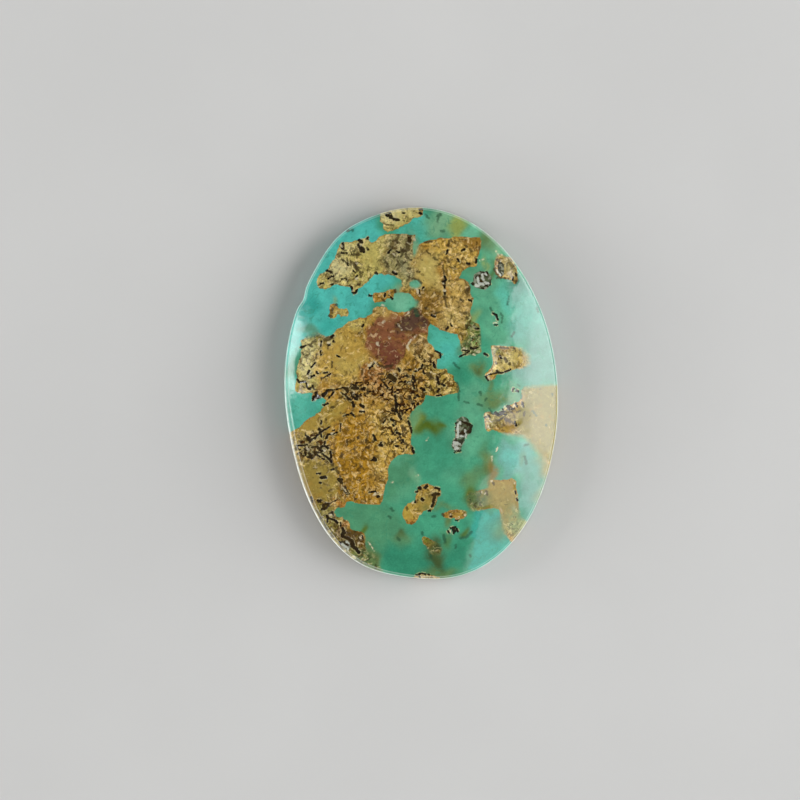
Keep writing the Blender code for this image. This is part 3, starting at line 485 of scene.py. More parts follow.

# Cracks, pits, grains and painted glints that are placed one by one: from x, y to x, y, half width
STROKES = {
    "black": [
        (2.66, -2.4, 2.56, -3.65, 0.05), (3.0, -2.28, 3.85, -2.62, 0.05), (3.85, -2.7, 3.7, -3.25, 0.08),
        (6.8, -1.3, 6.95, -1.55, 0.08), (7.45, -1.1, 7.6, -1.35, 0.07), (8.0, -1.05, 8.05, -1.35, 0.06),
        (5.25, -1.9, 5.35, -2.2, 0.06), (5.8, -1.75, 6.1, -1.95, 0.09), (6.2, -1.75, 6.45, -1.75, 0.07),
        (2.45, -4.27, 2.85, -4.28, 0.04), (2.4, -4.68, 2.9, -4.62, 0.06), (2.95, -3.35, 3.1, -3.1, 0.08),
        (-2.03, 14.47, -1.6, 14.36, 0.09), (-1.75, 14.26, -1.35, 14.1, 0.08),
        (-1.42, 14.1, -1.05, 14.02, 0.09), (-1.72, 14.62, -1.6, 14.58, 0.05),
        (-0.78, 14.62, -0.48, 14.56, 0.05), (0.66, 14.8, 0.85, 14.76, 0.06),
        (0.62, 14.52, 0.8, 14.42, 0.07), (-5.62, 12.37, -5.58, 12.25, 0.09),
        (-5.7, 12.07, -5.58, 12.03, 0.09), (-5.75, 11.65, -5.32, 11.58, 0.08),
        (-4.28, 12.58, -4.1, 12.42, 0.12), (-4.4, 12.2, -4.25, 11.95, 0.1),
        (-4.2, 12.03, -4.0, 11.85, 0.12), (-4.2, 11.68, -3.95, 11.62, 0.09),
        (-3.7, 11.9, -3.6, 11.78, 0.07), (-5.8, 11.15, -5.5, 10.92, 0.05), (-5.4, 10.8, -5.22, 10.62, 0.06),
        (-4.93, 10.18, -4.75, 9.98, 0.06), (-7.0, 10.28, -6.6, 10.12, 0.09), (-6.5, 9.82, -6.95, 9.6, 0.06),
        (-5.85, 9.52, -5.62, 9.6, 0.06), (-5.6, 9.6, -5.45, 9.48, 0.05), (-4.75, 9.6, -4.55, 9.75, 0.05),
        (-7.72, 9.15, -7.5, 9.27, 0.05), (-7.52, 9.29, -7.33, 9.27, 0.06), (-6.75, 9.15, -6.55, 9.15, 0.06),
        (-5.28, 8.98, -5.08, 8.9, 0.06), (-5.08, 8.8, -5.02, 8.62, 0.08), (-5.03, 8.4, -4.93, 8.3, 0.08),
        (-4.78, 8.4, -4.68, 8.55, 0.1), (-3.68, 12.62, -3.54, 12.76, 0.07),
        (-2.03, 11.4, -1.85, 11.6, 0.07), (-1.35, 11.5, -1.15, 11.4, 0.07),
        (-0.28, 12.48, -0.28, 12.24, 0.14), (-3.1, 9.88, -3.0, 9.82, 0.09), (-1.7, 9.85, -1.5, 9.68, 0.1),
        (3.48, 10.65, 3.58, 10.42, 0.08), (4.2, 10.25, 4.4, 10.2, 0.07), (4.9, 10.28, 4.98, 10.55, 0.08),
        (3.85, 11.27, 4.08, 11.42, 0.07), (2.72, 11.4, 2.62, 11.12, 0.07), (2.36, 9.25, 2.44, 9.0, 0.07),
        (2.2, 8.86, 2.33, 8.8, 0.08), (2.25, 8.6, 2.3, 8.42, 0.06), (2.3, 8.08, 2.3, 7.88, 0.06),
        (1.15, 6.25, 1.4, 6.12, 0.09), (2.28, 5.07, 2.4, 5.2, 0.09), (2.62, 5.45, 2.72, 5.32, 0.06),
        (0.28, 8.3, 0.34, 8.0, 0.06), (0.55, 8.4, 0.65, 8.52, 0.05), (4.22, 7.32, 4.4, 7.2, 0.07),
        (4.65, 5.0, 4.8, 4.98, 0.06), (-3.72, 8.1, -3.55, 8.05, 0.07), (-2.0, 7.8, -1.88, 7.7, 0.07),
        (-2.44, 8.15, -2.5, 7.95, 0.06), (-2.2, 8.02, -2.1, 8.0, 0.05), (4.55, 8.62, 4.62, 8.55, 0.09),
        (5.15, 8.78, 5.27, 8.72, 0.09), (5.38, 9.38, 5.7, 9.45, 0.06), (5.75, 9.4, 5.78, 9.3, 0.07),
        (5.88, 8.55, 5.93, 8.48, 0.08), (4.85, 9.05, 4.95, 9.2, 0.05), (5.1, 9.1, 5.2, 9.3, 0.05),
        (5.3, 8.2, 5.4, 8.18, 0.07), (5.55, 8.42, 5.75, 8.38, 0.05), (6.05, 6.15, 6.3, 6.02, 0.08),
        (6.3, 6.02, 6.4, 5.65, 0.08), (6.1, 5.24, 6.32, 5.22, 0.05), (5.18, 2.95, 5.42, 2.82, 0.07),
        (3.5, 3.35, 3.98, 3.22, 0.05), (3.18, 2.83, 3.4, 2.92, 0.05), (3.4, 2.92, 3.85, 3.1, 0.04),
        (4.15, 3.5, 4.28, 3.42, 0.06), (4.5, 3.42, 4.7, 3.5, 0.05), (-9.37, 4.27, -9.02, 4.37, 0.07),
        (-7.72, 4.68, -7.78, 4.22, 0.06), (-7.82, 3.88, -7.8, 3.58, 0.05), (-6.9, 4.97, -6.68, 5.08, 0.07),
        (-6.75, 4.62, -6.68, 4.55, 0.07), (-7.14, 4.35, -7.08, 4.35, 0.09), (-8.63, 2.62, -8.3, 2.95, 0.05),
        (-8.82, 2.37, -8.95, 2.1, 0.08), (-8.2, 2.22, -8.15, 2.1, 0.08), (-8.88, 1.8, -8.42, 1.98, 0.07),
        (-7.7, 2.12, -7.35, 2.15, 0.05), (-7.45, 1.85, -7.12, 2.02, 0.06), (-6.55, 3.45, -6.28, 3.3, 0.05),
        (-4.42, 5.62, -4.28, 5.8, 0.06), (-4.0, 2.33, -3.72, 2.5, 0.07), (-3.72, 2.5, -3.58, 2.72, 0.05),
        (-9.82, 1.72, -9.68, 1.52, 0.07), (-9.68, 1.5, -9.2, 1.52, 0.07), (-9.1, 1.38, -9.02, 1.02, 0.06),
        (-9.0, 0.97, -8.8, 0.9, 0.06), (-8.78, 0.95, -8.62, 1.1, 0.05), (-8.58, 1.1, -8.48, 0.85, 0.06),
        (-8.36, 0.55, -8.3, 0.3, 0.12), (-8.55, 0.22, -8.1, 0.22, 0.11), (-8.62, 0.05, -8.55, 0.04, 0.09),
        (-7.82, 0.33, -7.52, 0.6, 0.12), (-7.5, 0.74, -7.2, 0.74, 0.06), (-7.15, 0.72, -6.1, 0.86, 0.035),
        (-6.95, 0.58, -7.08, 0.36, 0.06), (-7.35, 0.1, -7.02, 0.48, 0.04), (-6.1, 0.86, -5.9, 0.78, 0.09),
        (-5.95, 0.78, -5.8, 0.58, 0.12), (-5.42, 0.8, -5.02, 0.74, 0.1), (-5.3, 1.05, -5.15, 0.95, 0.06),
        (-5.55, 0.45, -5.42, 0.1, 0.09), (-5.38, 0.05, -5.12, -0.12, 0.08), (-5.2, 0.3, -5.05, 0.1, 0.06),
        (-6.35, 0.5, -6.1, 0.3, 0.05), (-6.1, 0.3, -5.8, 0.0, 0.05), (-5.8, 0.0, -5.6, -0.15, 0.06),
        (-5.46, -0.35, -5.4, -0.65, 0.1), (-7.8, -0.43, -7.45, -0.33, 0.07),
        (-4.85, -0.55, -4.62, -0.75, 0.09), (-4.9, -1.1, -4.6, -1.12, 0.07), (-4.65, 0.7, -4.4, 0.8, 0.06),
        (-8.28, -2.33, -8.2, -2.38, 0.1), (-8.05, -1.68, -8.1, -1.93, 0.06),
        (-9.35, -2.8, -9.18, -2.95, 0.06), (-9.22, -2.95, -9.05, -3.22, 0.12),
        (-9.1, -3.15, -8.62, -3.05, 0.08), (-8.62, -3.02, -8.2, -2.6, 0.06),
        (-8.2, -2.58, -7.72, -2.36, 0.06), (-7.72, -2.36, -7.4, -2.18, 0.04),
        (-8.15, -2.6, -8.1, -2.95, 0.06), (-7.75, -3.1, -7.58, -2.82, 0.07),
        (-7.55, -2.76, -7.1, -2.76, 0.05), (-7.1, -2.76, -6.7, -2.62, 0.035),
        (-6.6, -2.6, -6.5, -2.0, 0.035), (-7.15, -2.5, -7.08, -2.48, 0.06),
        (-6.25, -1.38, -5.65, -1.2, 0.04), (-5.6, -1.2, -5.36, -1.5, 0.05),
        (-10.1, -3.56, -9.72, -3.58, 0.05), (-9.72, -3.6, -9.25, -3.52, 0.05),
        (-9.55, -3.85, -9.4, -3.98, 0.05), (-9.5, -4.12, -9.45, -4.35, 0.06),
        (-9.3, -4.5, -8.95, -4.62, 0.08), (-9.2, -4.2, -9.02, -4.5, 0.09),
        (-9.0, -3.76, -8.55, -3.72, 0.04), (-8.5, -3.75, -8.12, -4.12, 0.09),
        (-8.3, -3.9, -8.05, -3.7, 0.07), (-8.85, -4.12, -8.4, -4.2, 0.06),
        (-8.75, -4.25, -8.35, -4.5, 0.06), (-8.1, -4.3, -7.72, -4.65, 0.07),
        (-7.86, -3.35, -7.9, -3.7, 0.05), (-7.85, -3.7, -7.62, -3.9, 0.08), (-7.5, -4.15, -7.4, -4.6, 0.07),
        (-7.68, -4.62, -7.42, -5.0, 0.07), (-7.5, -5.6, -7.28, -5.6, 0.07),
        (-6.9, -6.42, -6.68, -6.68, 0.11), (-6.85, -6.48, -6.7, -6.45, 0.1),
        (-6.45, -7.0, -6.15, -7.6, 0.05), (-6.62, -7.2, -6.3, -7.66, 0.05),
        (-3.92, -3.02, -3.82, -3.42, 0.08), (-3.5, -3.86, -3.3, -3.86, 0.08),
        (-3.42, -3.8, -3.38, -3.68, 0.06), (-4.2, -5.0, -3.85, -5.02, 0.07),
        (-3.97, -4.8, -3.9, -4.95, 0.08), (-2.42, 1.6, -2.05, 1.3, 0.18), (-1.7, 2.2, -1.6, 1.92, 0.07),
        (-0.85, 2.05, -0.75, 1.98, 0.06), (-0.45, 1.85, -0.1, 1.95, 0.06), (-0.05, 2.0, 0.18, 2.08, 0.06),
        (0.15, 2.15, 0.25, 2.38, 0.06), (0.25, 1.85, 0.35, 1.62, 0.06), (1.1, 2.5, 1.2, 2.1, 0.08),
        (-1.05, 1.55, -0.95, 1.5, 0.08), (-0.62, 1.5, -0.42, 1.12, 0.08), (-1.0, 1.02, -0.7, 1.12, 0.05),
        (-0.6, 0.9, -0.55, 0.52, 0.07), (0.0, 0.5, 0.28, 0.32, 0.08), (1.35, 1.3, 1.42, 0.76, 0.08),
        (1.7, 0.72, 1.85, 0.6, 0.08), (1.32, 0.16, 1.42, 0.38, 0.08), (1.2, -0.16, 1.6, -0.14, 0.05),
        (1.28, 3.38, 1.8, 3.12, 0.06), (1.72, 3.1, 1.68, 2.86, 0.06), (-2.95, 1.15, -2.6, 0.66, 0.06),
        (-2.08, 0.0, -2.0, -0.88, 0.09), (-2.05, -1.0, -1.95, -1.32, 0.09),
        (-1.85, -1.45, -1.72, -1.85, 0.1), (-2.35, -1.15, -2.12, -1.2, 0.06),
        (-2.48, -1.86, -2.32, -1.92, 0.1), (-2.38, -2.3, -2.3, -2.34, 0.07),
        (-3.1, -2.1, -2.95, -1.88, 0.05), (-2.1, -2.92, -1.85, -3.05, 0.07),
        (-1.65, -3.5, -1.6, -3.68, 0.07), (-1.15, -2.05, -1.02, -2.45, 0.06),
        (-1.0, -2.5, -0.92, -2.98, 0.07), (-2.2, -4.0, -2.06, -4.02, 0.09),
        (-0.93, -4.22, -0.82, -4.58, 0.07), (-0.72, -0.7, -0.6, -0.66, 0.08),
        (-0.35, -0.05, -0.15, -0.15, 0.07), (-0.35, -0.75, -0.25, -0.72, 0.07),
        (-8.65, -5.87, -8.36, -5.87, 0.06), (-8.32, -6.2, -7.98, -6.2, 0.12),
        (-8.45, -6.62, -8.38, -6.62, 0.08), (-9.22, -7.72, -9.12, -8.1, 0.06),
        (-8.65, -8.05, -8.48, -8.08, 0.12), (-8.25, -8.42, -8.1, -8.3, 0.08),
        (-8.1, -8.28, -7.82, -8.3, 0.05), (-7.9, -8.38, -7.8, -8.5, 0.06), (-8.28, -8.5, -8.15, -8.7, 0.1),
        (-8.1, -8.7, -7.95, -8.6, 0.07), (-8.45, -8.76, -8.15, -8.76, 0.06),
        (-7.62, -8.28, -7.0, -7.98, 0.03), (-7.85, -9.15, -7.6, -9.0, 0.05),
        (-7.55, -9.05, -7.5, -9.25, 0.05), (-8.0, -9.32, -7.88, -9.5, 0.09),
        (-7.8, -9.5, -7.42, -9.65, 0.07), (-7.4, -9.66, -7.2, -9.9, 0.07), (-8.0, -9.5, -8.0, -9.8, 0.05),
        (-6.95, -9.92, -6.95, -10.2, 0.05), (-6.8, -10.42, -6.72, -10.7, 0.12),
        (-6.86, -10.72, -6.86, -10.98, 0.11), (-6.8, -11.02, -6.42, -11.2, 0.11),
        (-6.42, -11.2, -6.15, -11.35, 0.1), (-6.18, -11.4, -6.05, -11.8, 0.14),
        (-6.08, -11.82, -5.8, -12.1, 0.13), (-5.8, -12.12, -5.62, -12.35, 0.12),
        (-6.62, -11.66, -6.48, -11.7, 0.07), (-7.1, -11.45, -7.05, -11.65, 0.05),
        (-5.28, -11.05, -5.25, -11.25, 0.06), (-4.5, -7.56, -4.02, -7.5, 0.06),
        (-3.9, -7.95, -3.76, -7.86, 0.08), (-0.55, -7.42, -0.45, -7.42, 0.11),
        (-0.78, -7.7, -0.7, -7.66, 0.07), (-0.05, -7.4, 0.02, -7.28, 0.13),
        (0.75, -7.48, 0.98, -7.52, 0.08), (1.0, -7.55, 1.04, -7.7, 0.06), (0.5, -8.02, 0.78, -7.9, 0.09),
        (0.78, -7.95, 1.02, -7.98, 0.08), (0.7, -8.0, 0.58, -8.42, 0.1), (0.58, -8.42, 0.48, -8.76, 0.08),
        (0.48, -8.76, 0.36, -8.98, 0.07), (-0.36, -8.32, -0.28, -8.36, 0.12),
        (-0.93, -8.52, -0.93, -8.48, 0.09), (0.1, -9.27, 0.25, -9.25, 0.06),
        (1.8, -9.84, 1.95, -9.82, 0.06), (2.22, -10.12, 2.42, -10.15, 0.05),
        (1.58, -10.98, 1.66, -11.1, 0.07), (1.8, -10.74, 2.12, -10.7, 0.07),
        (2.0, -10.8, 2.05, -11.15, 0.09), (2.2, -10.75, 2.35, -11.05, 0.07),
        (-1.12, -14.4, -0.72, -14.28, 0.05), (-0.72, -14.28, -0.1, -14.42, 0.04),
        (-0.88, -14.52, -0.85, -14.66, 0.06), (5.17, 1.15, 5.38, 0.86, 0.05), (5.35, 1.26, 6.0, 1.4, 0.04),
        (6.0, 1.4, 6.6, 1.4, 0.045), (6.6, 1.4, 7.22, 1.6, 0.04), (6.08, 1.62, 6.25, 1.46, 0.06),
        (6.42, 2.75, 6.55, 2.55, 0.07), (4.96, -2.03, 5.15, -2.05, 0.05), (5.85, -1.78, 6.0, -2.0, 0.06),
        (6.3, -1.9, 6.7, -1.95, 0.045), (6.4, -1.5, 6.56, -1.66, 0.05), (7.0, -1.3, 7.15, -1.5, 0.06),
        (7.15, -1.52, 7.35, -1.52, 0.06), (8.0, -1.12, 8.1, -1.38, 0.06), (7.36, -2.55, 7.43, -2.88, 0.055),
        (7.6, -0.08, 7.72, -0.14, 0.08), (7.36, 0.1, 7.3, -0.08, 0.06), (7.2, -8.65, 7.24, -8.86, 0.06),
        (7.08, -8.1, 7.14, -8.3, 0.05), (7.82, 8.97, 7.78, 8.76, 0.07), (8.05, 9.3, 8.1, 9.12, 0.07),
        (2.78, -3.05, 2.85, -3.2, 0.09), (3.58, -2.6, 3.7, -2.62, 0.06), (3.52, -3.05, 3.6, -3.15, 0.08),
        (3.2, -3.2, 3.25, -3.28, 0.06), (2.42, -3.82, 2.6, -3.8, 0.05), (2.38, -4.2, 2.75, -4.22, 0.04),
        (2.66, -2.55, 2.6, -3.5, 0.03),
    ],
    "brown": [
        (-2.27, 13.85, -2.05, 13.68, 0.05), (-2.05, 13.68, -1.55, 13.66, 0.04),
        (-0.72, 13.96, -0.62, 13.92, 0.06), (-5.2, 13.38, -5.08, 13.42, 0.07),
        (-5.2, 11.42, -4.95, 11.38, 0.06), (-4.95, 11.42, -4.3, 11.44, 0.08),
        (-4.95, 10.82, -4.72, 10.64, 0.1), (-4.78, 10.55, -4.6, 10.28, 0.1),
        (-6.2, 10.02, -6.5, 9.82, 0.06), (-4.35, 10.0, -4.3, 9.58, 0.06), (-6.35, 9.42, -6.15, 9.4, 0.05),
        (-4.6, 9.02, -4.4, 8.98, 0.07), (-7.52, 10.0, -7.45, 9.98, 0.06), (-1.85, 11.6, -1.65, 11.8, 0.06),
        (-1.1, 11.46, -0.6, 11.5, 0.08), (-0.5, 12.0, -0.38, 11.8, 0.12), (-0.48, 11.75, -0.42, 11.6, 0.1),
        (-2.3, 10.7, -2.12, 10.56, 0.07), (-0.35, 12.72, -0.15, 12.66, 0.07),
        (-1.62, 11.12, -1.55, 11.04, 0.07), (-0.65, 11.2, -0.55, 10.95, 0.09),
        (-0.85, 10.5, -0.7, 10.62, 0.06), (-0.55, 10.1, -0.3, 10.06, 0.06),
        (-0.45, 10.8, -0.2, 10.76, 0.05), (0.2, 9.8, 0.4, 9.76, 0.06), (-0.62, 9.45, -0.42, 9.38, 0.07),
        (-0.2, 9.27, 0.2, 9.12, 0.05), (0.2, 9.12, 0.5, 8.85, 0.06), (-1.6, 12.35, -1.4, 12.42, 0.06),
        (-1.35, 12.35, -1.08, 12.12, 0.06), (0.95, 12.1, 1.5, 12.14, 0.06), (1.0, 11.4, 1.3, 11.12, 0.04),
        (1.5, 10.85, 1.85, 10.62, 0.05), (2.9, 12.1, 2.76, 11.72, 0.08), (3.0, 12.25, 3.15, 12.06, 0.06),
        (2.62, 10.8, 2.75, 10.45, 0.08), (2.85, 10.02, 3.0, 10.0, 0.06), (2.28, 10.2, 2.36, 9.2, 0.05),
        (2.4, 9.1, 2.28, 8.2, 0.055), (2.28, 8.2, 2.32, 7.3, 0.06), (2.32, 7.3, 2.4, 6.8, 0.045),
        (2.8, 7.65, 2.86, 7.52, 0.06), (3.55, 7.36, 3.7, 7.26, 0.07), (4.1, 8.1, 4.28, 8.3, 0.1),
        (4.1, 11.7, 4.25, 11.6, 0.09), (4.5, 11.4, 4.58, 11.22, 0.08), (5.2, 11.3, 5.26, 11.52, 0.06),
        (3.8, 6.3, 3.86, 6.25, 0.08), (3.95, 5.9, 4.0, 5.84, 0.08), (3.85, 5.3, 3.9, 5.12, 0.07),
        (1.5, 6.36, 2.0, 6.5, 0.05), (0.65, 6.85, 0.76, 6.8, 0.08), (-2.55, 7.66, -2.5, 7.55, 0.06),
        (-1.65, 8.4, -1.6, 8.26, 0.08), (-6.95, 6.66, -6.8, 6.6, 0.09), (-6.72, 7.3, -6.72, 7.0, 0.06),
        (-6.4, 7.5, -6.3, 7.44, 0.08), (-8.55, 4.6, -8.12, 4.68, 0.05), (-8.68, 4.46, -8.5, 4.3, 0.09),
        (-9.3, 3.85, -9.25, 3.7, 0.07), (-9.5, 3.3, -9.4, 3.15, 0.06), (-8.15, 3.65, -8.2, 3.28, 0.05),
        (-9.45, 3.1, -9.15, 2.72, 0.04), (-7.42, 4.75, -7.02, 4.85, 0.13), (-6.95, 2.95, -6.97, 2.52, 0.06),
        (-7.5, 2.5, -7.35, 2.52, 0.05), (-7.9, 1.7, -7.62, 1.78, 0.05), (-4.55, 2.25, -4.62, 1.82, 0.07),
        (-3.3, 1.8, -2.92, 1.82, 0.07), (-3.35, 2.6, -2.85, 2.32, 0.09), (-2.85, 2.32, -2.2, 2.4, 0.08),
        (-7.15, -0.62, -7.05, -0.66, 0.08), (-4.15, 0.65, -4.25, 0.35, 0.06),
        (-7.4, -4.8, -7.35, -5.22, 0.1), (-7.05, -5.5, -6.95, -5.92, 0.08), (-6.8, -6.1, -6.76, -6.2, 0.06),
        (-4.5, -3.3, -4.6, -3.62, 0.06), (-4.52, -4.0, -4.42, -4.02, 0.08),
        (-5.15, -3.05, -5.2, -3.28, 0.06), (-6.5, -4.42, -6.7, -4.62, 0.08),
        (-6.1, -3.3, -6.05, -3.7, 0.05), (-5.15, -5.4, -5.0, -5.46, 0.07), (0.55, 1.62, 0.95, 1.22, 0.11),
        (-1.65, -0.1, -1.55, -0.5, 0.08), (-1.0, -0.15, -0.72, -0.6, 0.09),
        (-0.05, -0.55, 0.12, -0.5, 0.08), (-1.66, -2.4, -1.42, -2.72, 0.1), (-1.9, -3.1, -1.76, -3.5, 0.06),
        (-1.5, -3.85, -1.35, -3.8, 0.06), (-7.75, -7.3, -7.52, -7.2, 0.05),
        (-5.75, -7.95, -5.6, -8.06, 0.06), (-1.6, -8.9, -1.6, -9.1, 0.07), (6.8, 2.55, 6.95, 2.22, 0.09),
        (7.15, 2.1, 7.2, 2.0, 0.07), (6.55, 3.36, 7.1, 3.3, 0.06), (7.58, 3.3, 7.7, 3.1, 0.05),
        (6.05, 2.26, 6.15, 2.15, 0.06), (6.85, -1.6, 7.1, -1.8, 0.08), (7.55, -1.78, 7.8, -1.72, 0.05),
        (6.6, -2.3, 6.95, -2.55, 0.1), (7.3, -2.0, 7.36, -2.3, 0.05), (8.15, -1.8, 8.1, -2.1, 0.05),
        (6.38, 9.7, 6.6, 9.22, 0.08), (6.62, 9.95, 6.8, 9.5, 0.05), (7.0, 10.05, 7.1, 9.98, 0.08),
        (6.65, 10.42, 6.75, 10.3, 0.09), (6.5, 8.98, 7.5, 8.92, 0.05), (8.12, 8.7, 8.05, 8.52, 0.07),
        (4.3, -8.0, 4.35, -8.12, 0.06), (4.75, -7.98, 4.85, -8.2, 0.09), (5.35, -7.3, 5.42, -7.45, 0.08),
        (2.8, -9.78, 2.9, -9.85, 0.06), (1.22, -9.62, 1.3, -9.7, 0.09),
    ],
    "green": [
        (-4.88, 13.46, -4.78, 13.4, 0.08), (2.02, 13.72, 2.12, 14.02, 0.06), (2.1, 14.2, 2.3, 14.3, 0.1),
        (1.12, 14.35, 1.35, 14.05, 0.07), (2.3, 12.98, 2.5, 12.95, 0.08), (-0.52, 6.8, -0.3, 6.88, 0.07),
        (-0.3, 6.88, -0.12, 6.75, 0.09), (-0.05, 6.6, 0.02, 6.3, 0.14), (5.85, 6.6, 6.05, 6.2, 0.05),
        (6.68, 6.12, 6.8, 5.92, 0.06), (6.82, 5.92, 6.7, 5.4, 0.05), (7.42, 7.45, 7.25, 6.8, 0.05),
        (7.65, 4.55, 7.45, 4.22, 0.06), (9.62, 6.45, 9.7, 6.12, 0.05), (2.7, 2.35, 3.1, 1.92, 0.06),
        (2.9, 0.8, 3.02, 0.1, 0.06), (2.95, 0.1, 2.95, -0.6, 0.06), (4.68, -0.05, 4.75, -0.28, 0.08),
        (4.45, -1.0, 4.8, -1.15, 0.06), (5.08, -0.7, 5.15, -0.6, 0.07), (5.35, -1.4, 5.62, -1.85, 0.05),
        (3.4, -0.75, 3.72, -0.85, 0.05), (-2.45, -11.35, -2.3, -11.5, 0.08),
        (-2.85, -8.92, -2.7, -9.1, 0.08), (-3.05, -9.56, -2.96, -9.66, 0.08),
        (0.4, -9.75, 0.6, -9.72, 0.08), (2.55, -11.6, 3.0, -11.55, 0.07), (3.0, -11.55, 3.45, -11.15, 0.08),
        (8.0, -5.4, 8.1, -5.95, 0.08), (8.3, -4.4, 8.0, -4.5, 0.07), (8.8, -1.78, 9.12, -2.18, 0.045),
        (10.45, -0.45, 10.5, -0.6, 0.05), (9.85, -2.95, 9.9, -3.02, 0.06), (7.75, 0.36, 7.86, 0.25, 0.05),
        (8.0, -0.4, 8.0, -0.72, 0.04), (3.2, -13.0, 3.28, -13.12, 0.07), (1.2, -11.3, 1.32, -11.9, 0.09),
        (2.1, -12.1, 2.12, -12.35, 0.06), (0.08, -12.85, 0.14, -13.1, 0.07),
        (-0.5, -10.95, -0.45, -11.15, 0.07),
    ],
    # Pale strokes: mostly painted glints on grains and beside pits, with a few pale grains and scratches
    "pale": [
        (2.82, -2.5, 2.74, -3.5, 0.045), (2.38, -3.95, 2.85, -4.1, 0.07), (2.5, -4.45, 2.72, -4.42, 0.05),
        (6.58, -1.3, 6.7, -1.5, 0.04), (7.28, -1.15, 7.4, -1.3, 0.035), (5.05, -1.8, 5.12, -2.05, 0.05),
        (3.0, -3.45, 3.4, -3.62, 0.03), (3.3, -3.1, 3.4, -3.4, 0.03), (-1.4, 14.33, -1.2, 14.26, 0.05),
        (-5.72, 12.2, -5.66, 12.14, 0.07), (-4.24, 12.24, -4.16, 12.18, 0.07),
        (-4.66, 10.86, -4.54, 10.74, 0.07), (-4.72, 9.46, -4.55, 9.5, 0.06),
        (-5.05, 8.52, -4.9, 8.58, 0.05), (-0.42, 12.12, -0.18, 12.08, 0.05),
        (0.05, 12.45, 0.12, 12.3, 0.06), (-1.65, 11.35, -1.5, 11.2, 0.05),
        (-1.35, 11.35, -1.28, 11.15, 0.06), (-1.6, 9.95, -1.5, 9.9, 0.05), (5.25, 10.42, 5.52, 10.52, 0.05),
        (6.6, 11.1, 6.72, 10.9, 0.06), (6.85, 10.75, 7.05, 10.8, 0.05), (2.24, 8.72, 2.28, 8.7, 0.05),
        (2.26, 8.18, 2.34, 8.16, 0.07), (0.1, 8.42, 0.16, 8.15, 0.05), (0.18, 8.0, 0.35, 7.82, 0.05),
        (1.3, 6.3, 1.42, 6.22, 0.05), (5.36, 9.28, 5.42, 8.88, 0.07), (4.98, 9.08, 5.02, 8.78, 0.06),
        (4.78, 8.45, 5.0, 8.4, 0.08), (5.1, 8.58, 5.4, 8.5, 0.07), (5.6, 8.62, 5.78, 8.58, 0.08),
        (5.6, 9.35, 5.68, 9.3, 0.06), (6.05, 5.42, 6.38, 5.4, 0.05), (4.42, 5.12, 4.75, 5.15, 0.04),
        (4.5, 3.22, 4.78, 3.16, 0.08), (4.3, 2.98, 4.42, 2.94, 0.05), (3.6, 3.46, 3.75, 3.44, 0.06),
        (-7.2, 4.5, -7.08, 4.48, 0.05), (-7.88, 4.78, -7.92, 4.35, 0.05), (-8.02, 3.72, -8.0, 3.4, 0.05),
        (-8.95, 1.98, -8.85, 1.85, 0.06), (-4.2, 2.62, -4.05, 2.48, 0.07), (-4.05, 2.48, -3.85, 2.56, 0.07),
        (-3.85, 2.58, -3.78, 2.72, 0.05), (-3.6, 2.95, -3.3, 2.36, 0.035), (-3.28, 4.25, -3.15, 4.1, 0.08),
        (-2.95, 5.75, -2.6, 5.95, 0.06), (-1.55, 5.7, -1.25, 5.2, 0.04), (-0.85, 3.98, -0.58, 4.35, 0.05),
        (-0.25, 4.55, -0.12, 4.7, 0.06), (-2.3, 4.8, -2.25, 4.5, 0.06), (-0.75, 6.45, -0.65, 6.55, 0.05),
        (-0.95, 3.85, -0.8, 3.6, 0.05), (-5.7, 0.98, -5.5, 1.05, 0.05), (-5.32, 0.42, -5.38, 0.28, 0.05),
        (-4.82, -0.92, -4.7, -0.98, 0.08), (-6.7, -0.12, -6.6, -0.1, 0.05), (-2.12, 1.82, -1.8, 1.45, 0.05),
        (-0.92, 0.92, -0.78, 0.9, 0.08), (0.75, 1.78, 1.2, 1.52, 0.04), (1.15, 1.25, 1.2, 1.15, 0.06),
        (-0.4, 2.02, -0.25, 1.98, 0.05), (-9.38, -3.78, -9.22, -3.92, 0.07),
        (-7.3, -2.7, -7.22, -2.68, 0.05), (-6.4, -2.15, -6.32, -2.2, 0.05),
        (-7.95, -3.9, -7.88, -4.05, 0.06), (-6.9, -5.15, -6.75, -5.35, 0.06),
        (-6.66, -6.9, -6.36, -7.5, 0.05), (-4.2, -7.85, -4.1, -7.75, 0.07),
        (-4.02, -7.68, -3.85, -7.65, 0.07), (-3.6, -7.75, -3.5, -7.8, 0.06),
        (-7.78, -9.22, -7.66, -9.26, 0.06), (-8.35, -9.35, -8.2, -9.55, 0.06),
        (-7.75, -10.25, -7.62, -10.48, 0.04), (-5.42, -11.12, -5.4, -11.34, 0.07),
        (-6.9, -11.65, -6.52, -11.95, 0.06), (-6.55, -11.45, -6.36, -11.55, 0.06),
        (-6.5, -12.1, -6.3, -12.3, 0.05), (-6.1, -12.62, -5.8, -12.8, 0.04),
        (-5.6, -11.6, -5.5, -11.7, 0.05), (-1.15, -8.58, -1.08, -8.46, 0.05),
        (-2.75, -6.86, -2.6, -6.82, 0.06), (-0.75, -6.45, -0.6, -6.42, 0.05),
        (1.15, -8.02, 1.18, -7.95, 0.05), (1.74, -9.7, 1.82, -9.66, 0.06), (2.32, -9.98, 2.5, -9.92, 0.05),
        (2.98, -9.78, 3.02, -9.72, 0.06), (1.74, -10.98, 1.76, -11.06, 0.04),
        (-1.4, -14.66, -1.25, -14.62, 0.05), (5.5, 1.02, 5.7, 0.98, 0.08), (6.58, 2.7, 6.62, 2.62, 0.05),
        (5.05, -1.82, 5.06, -1.94, 0.06), (6.55, -1.42, 6.58, -1.54, 0.06), (7.22, -1.36, 7.36, -1.4, 0.04),
        (5.2, -2.85, 5.4, -3.0, 0.05), (5.3, -2.2, 5.45, -2.45, 0.06), (4.42, -8.05, 4.44, -8.0, 0.06),
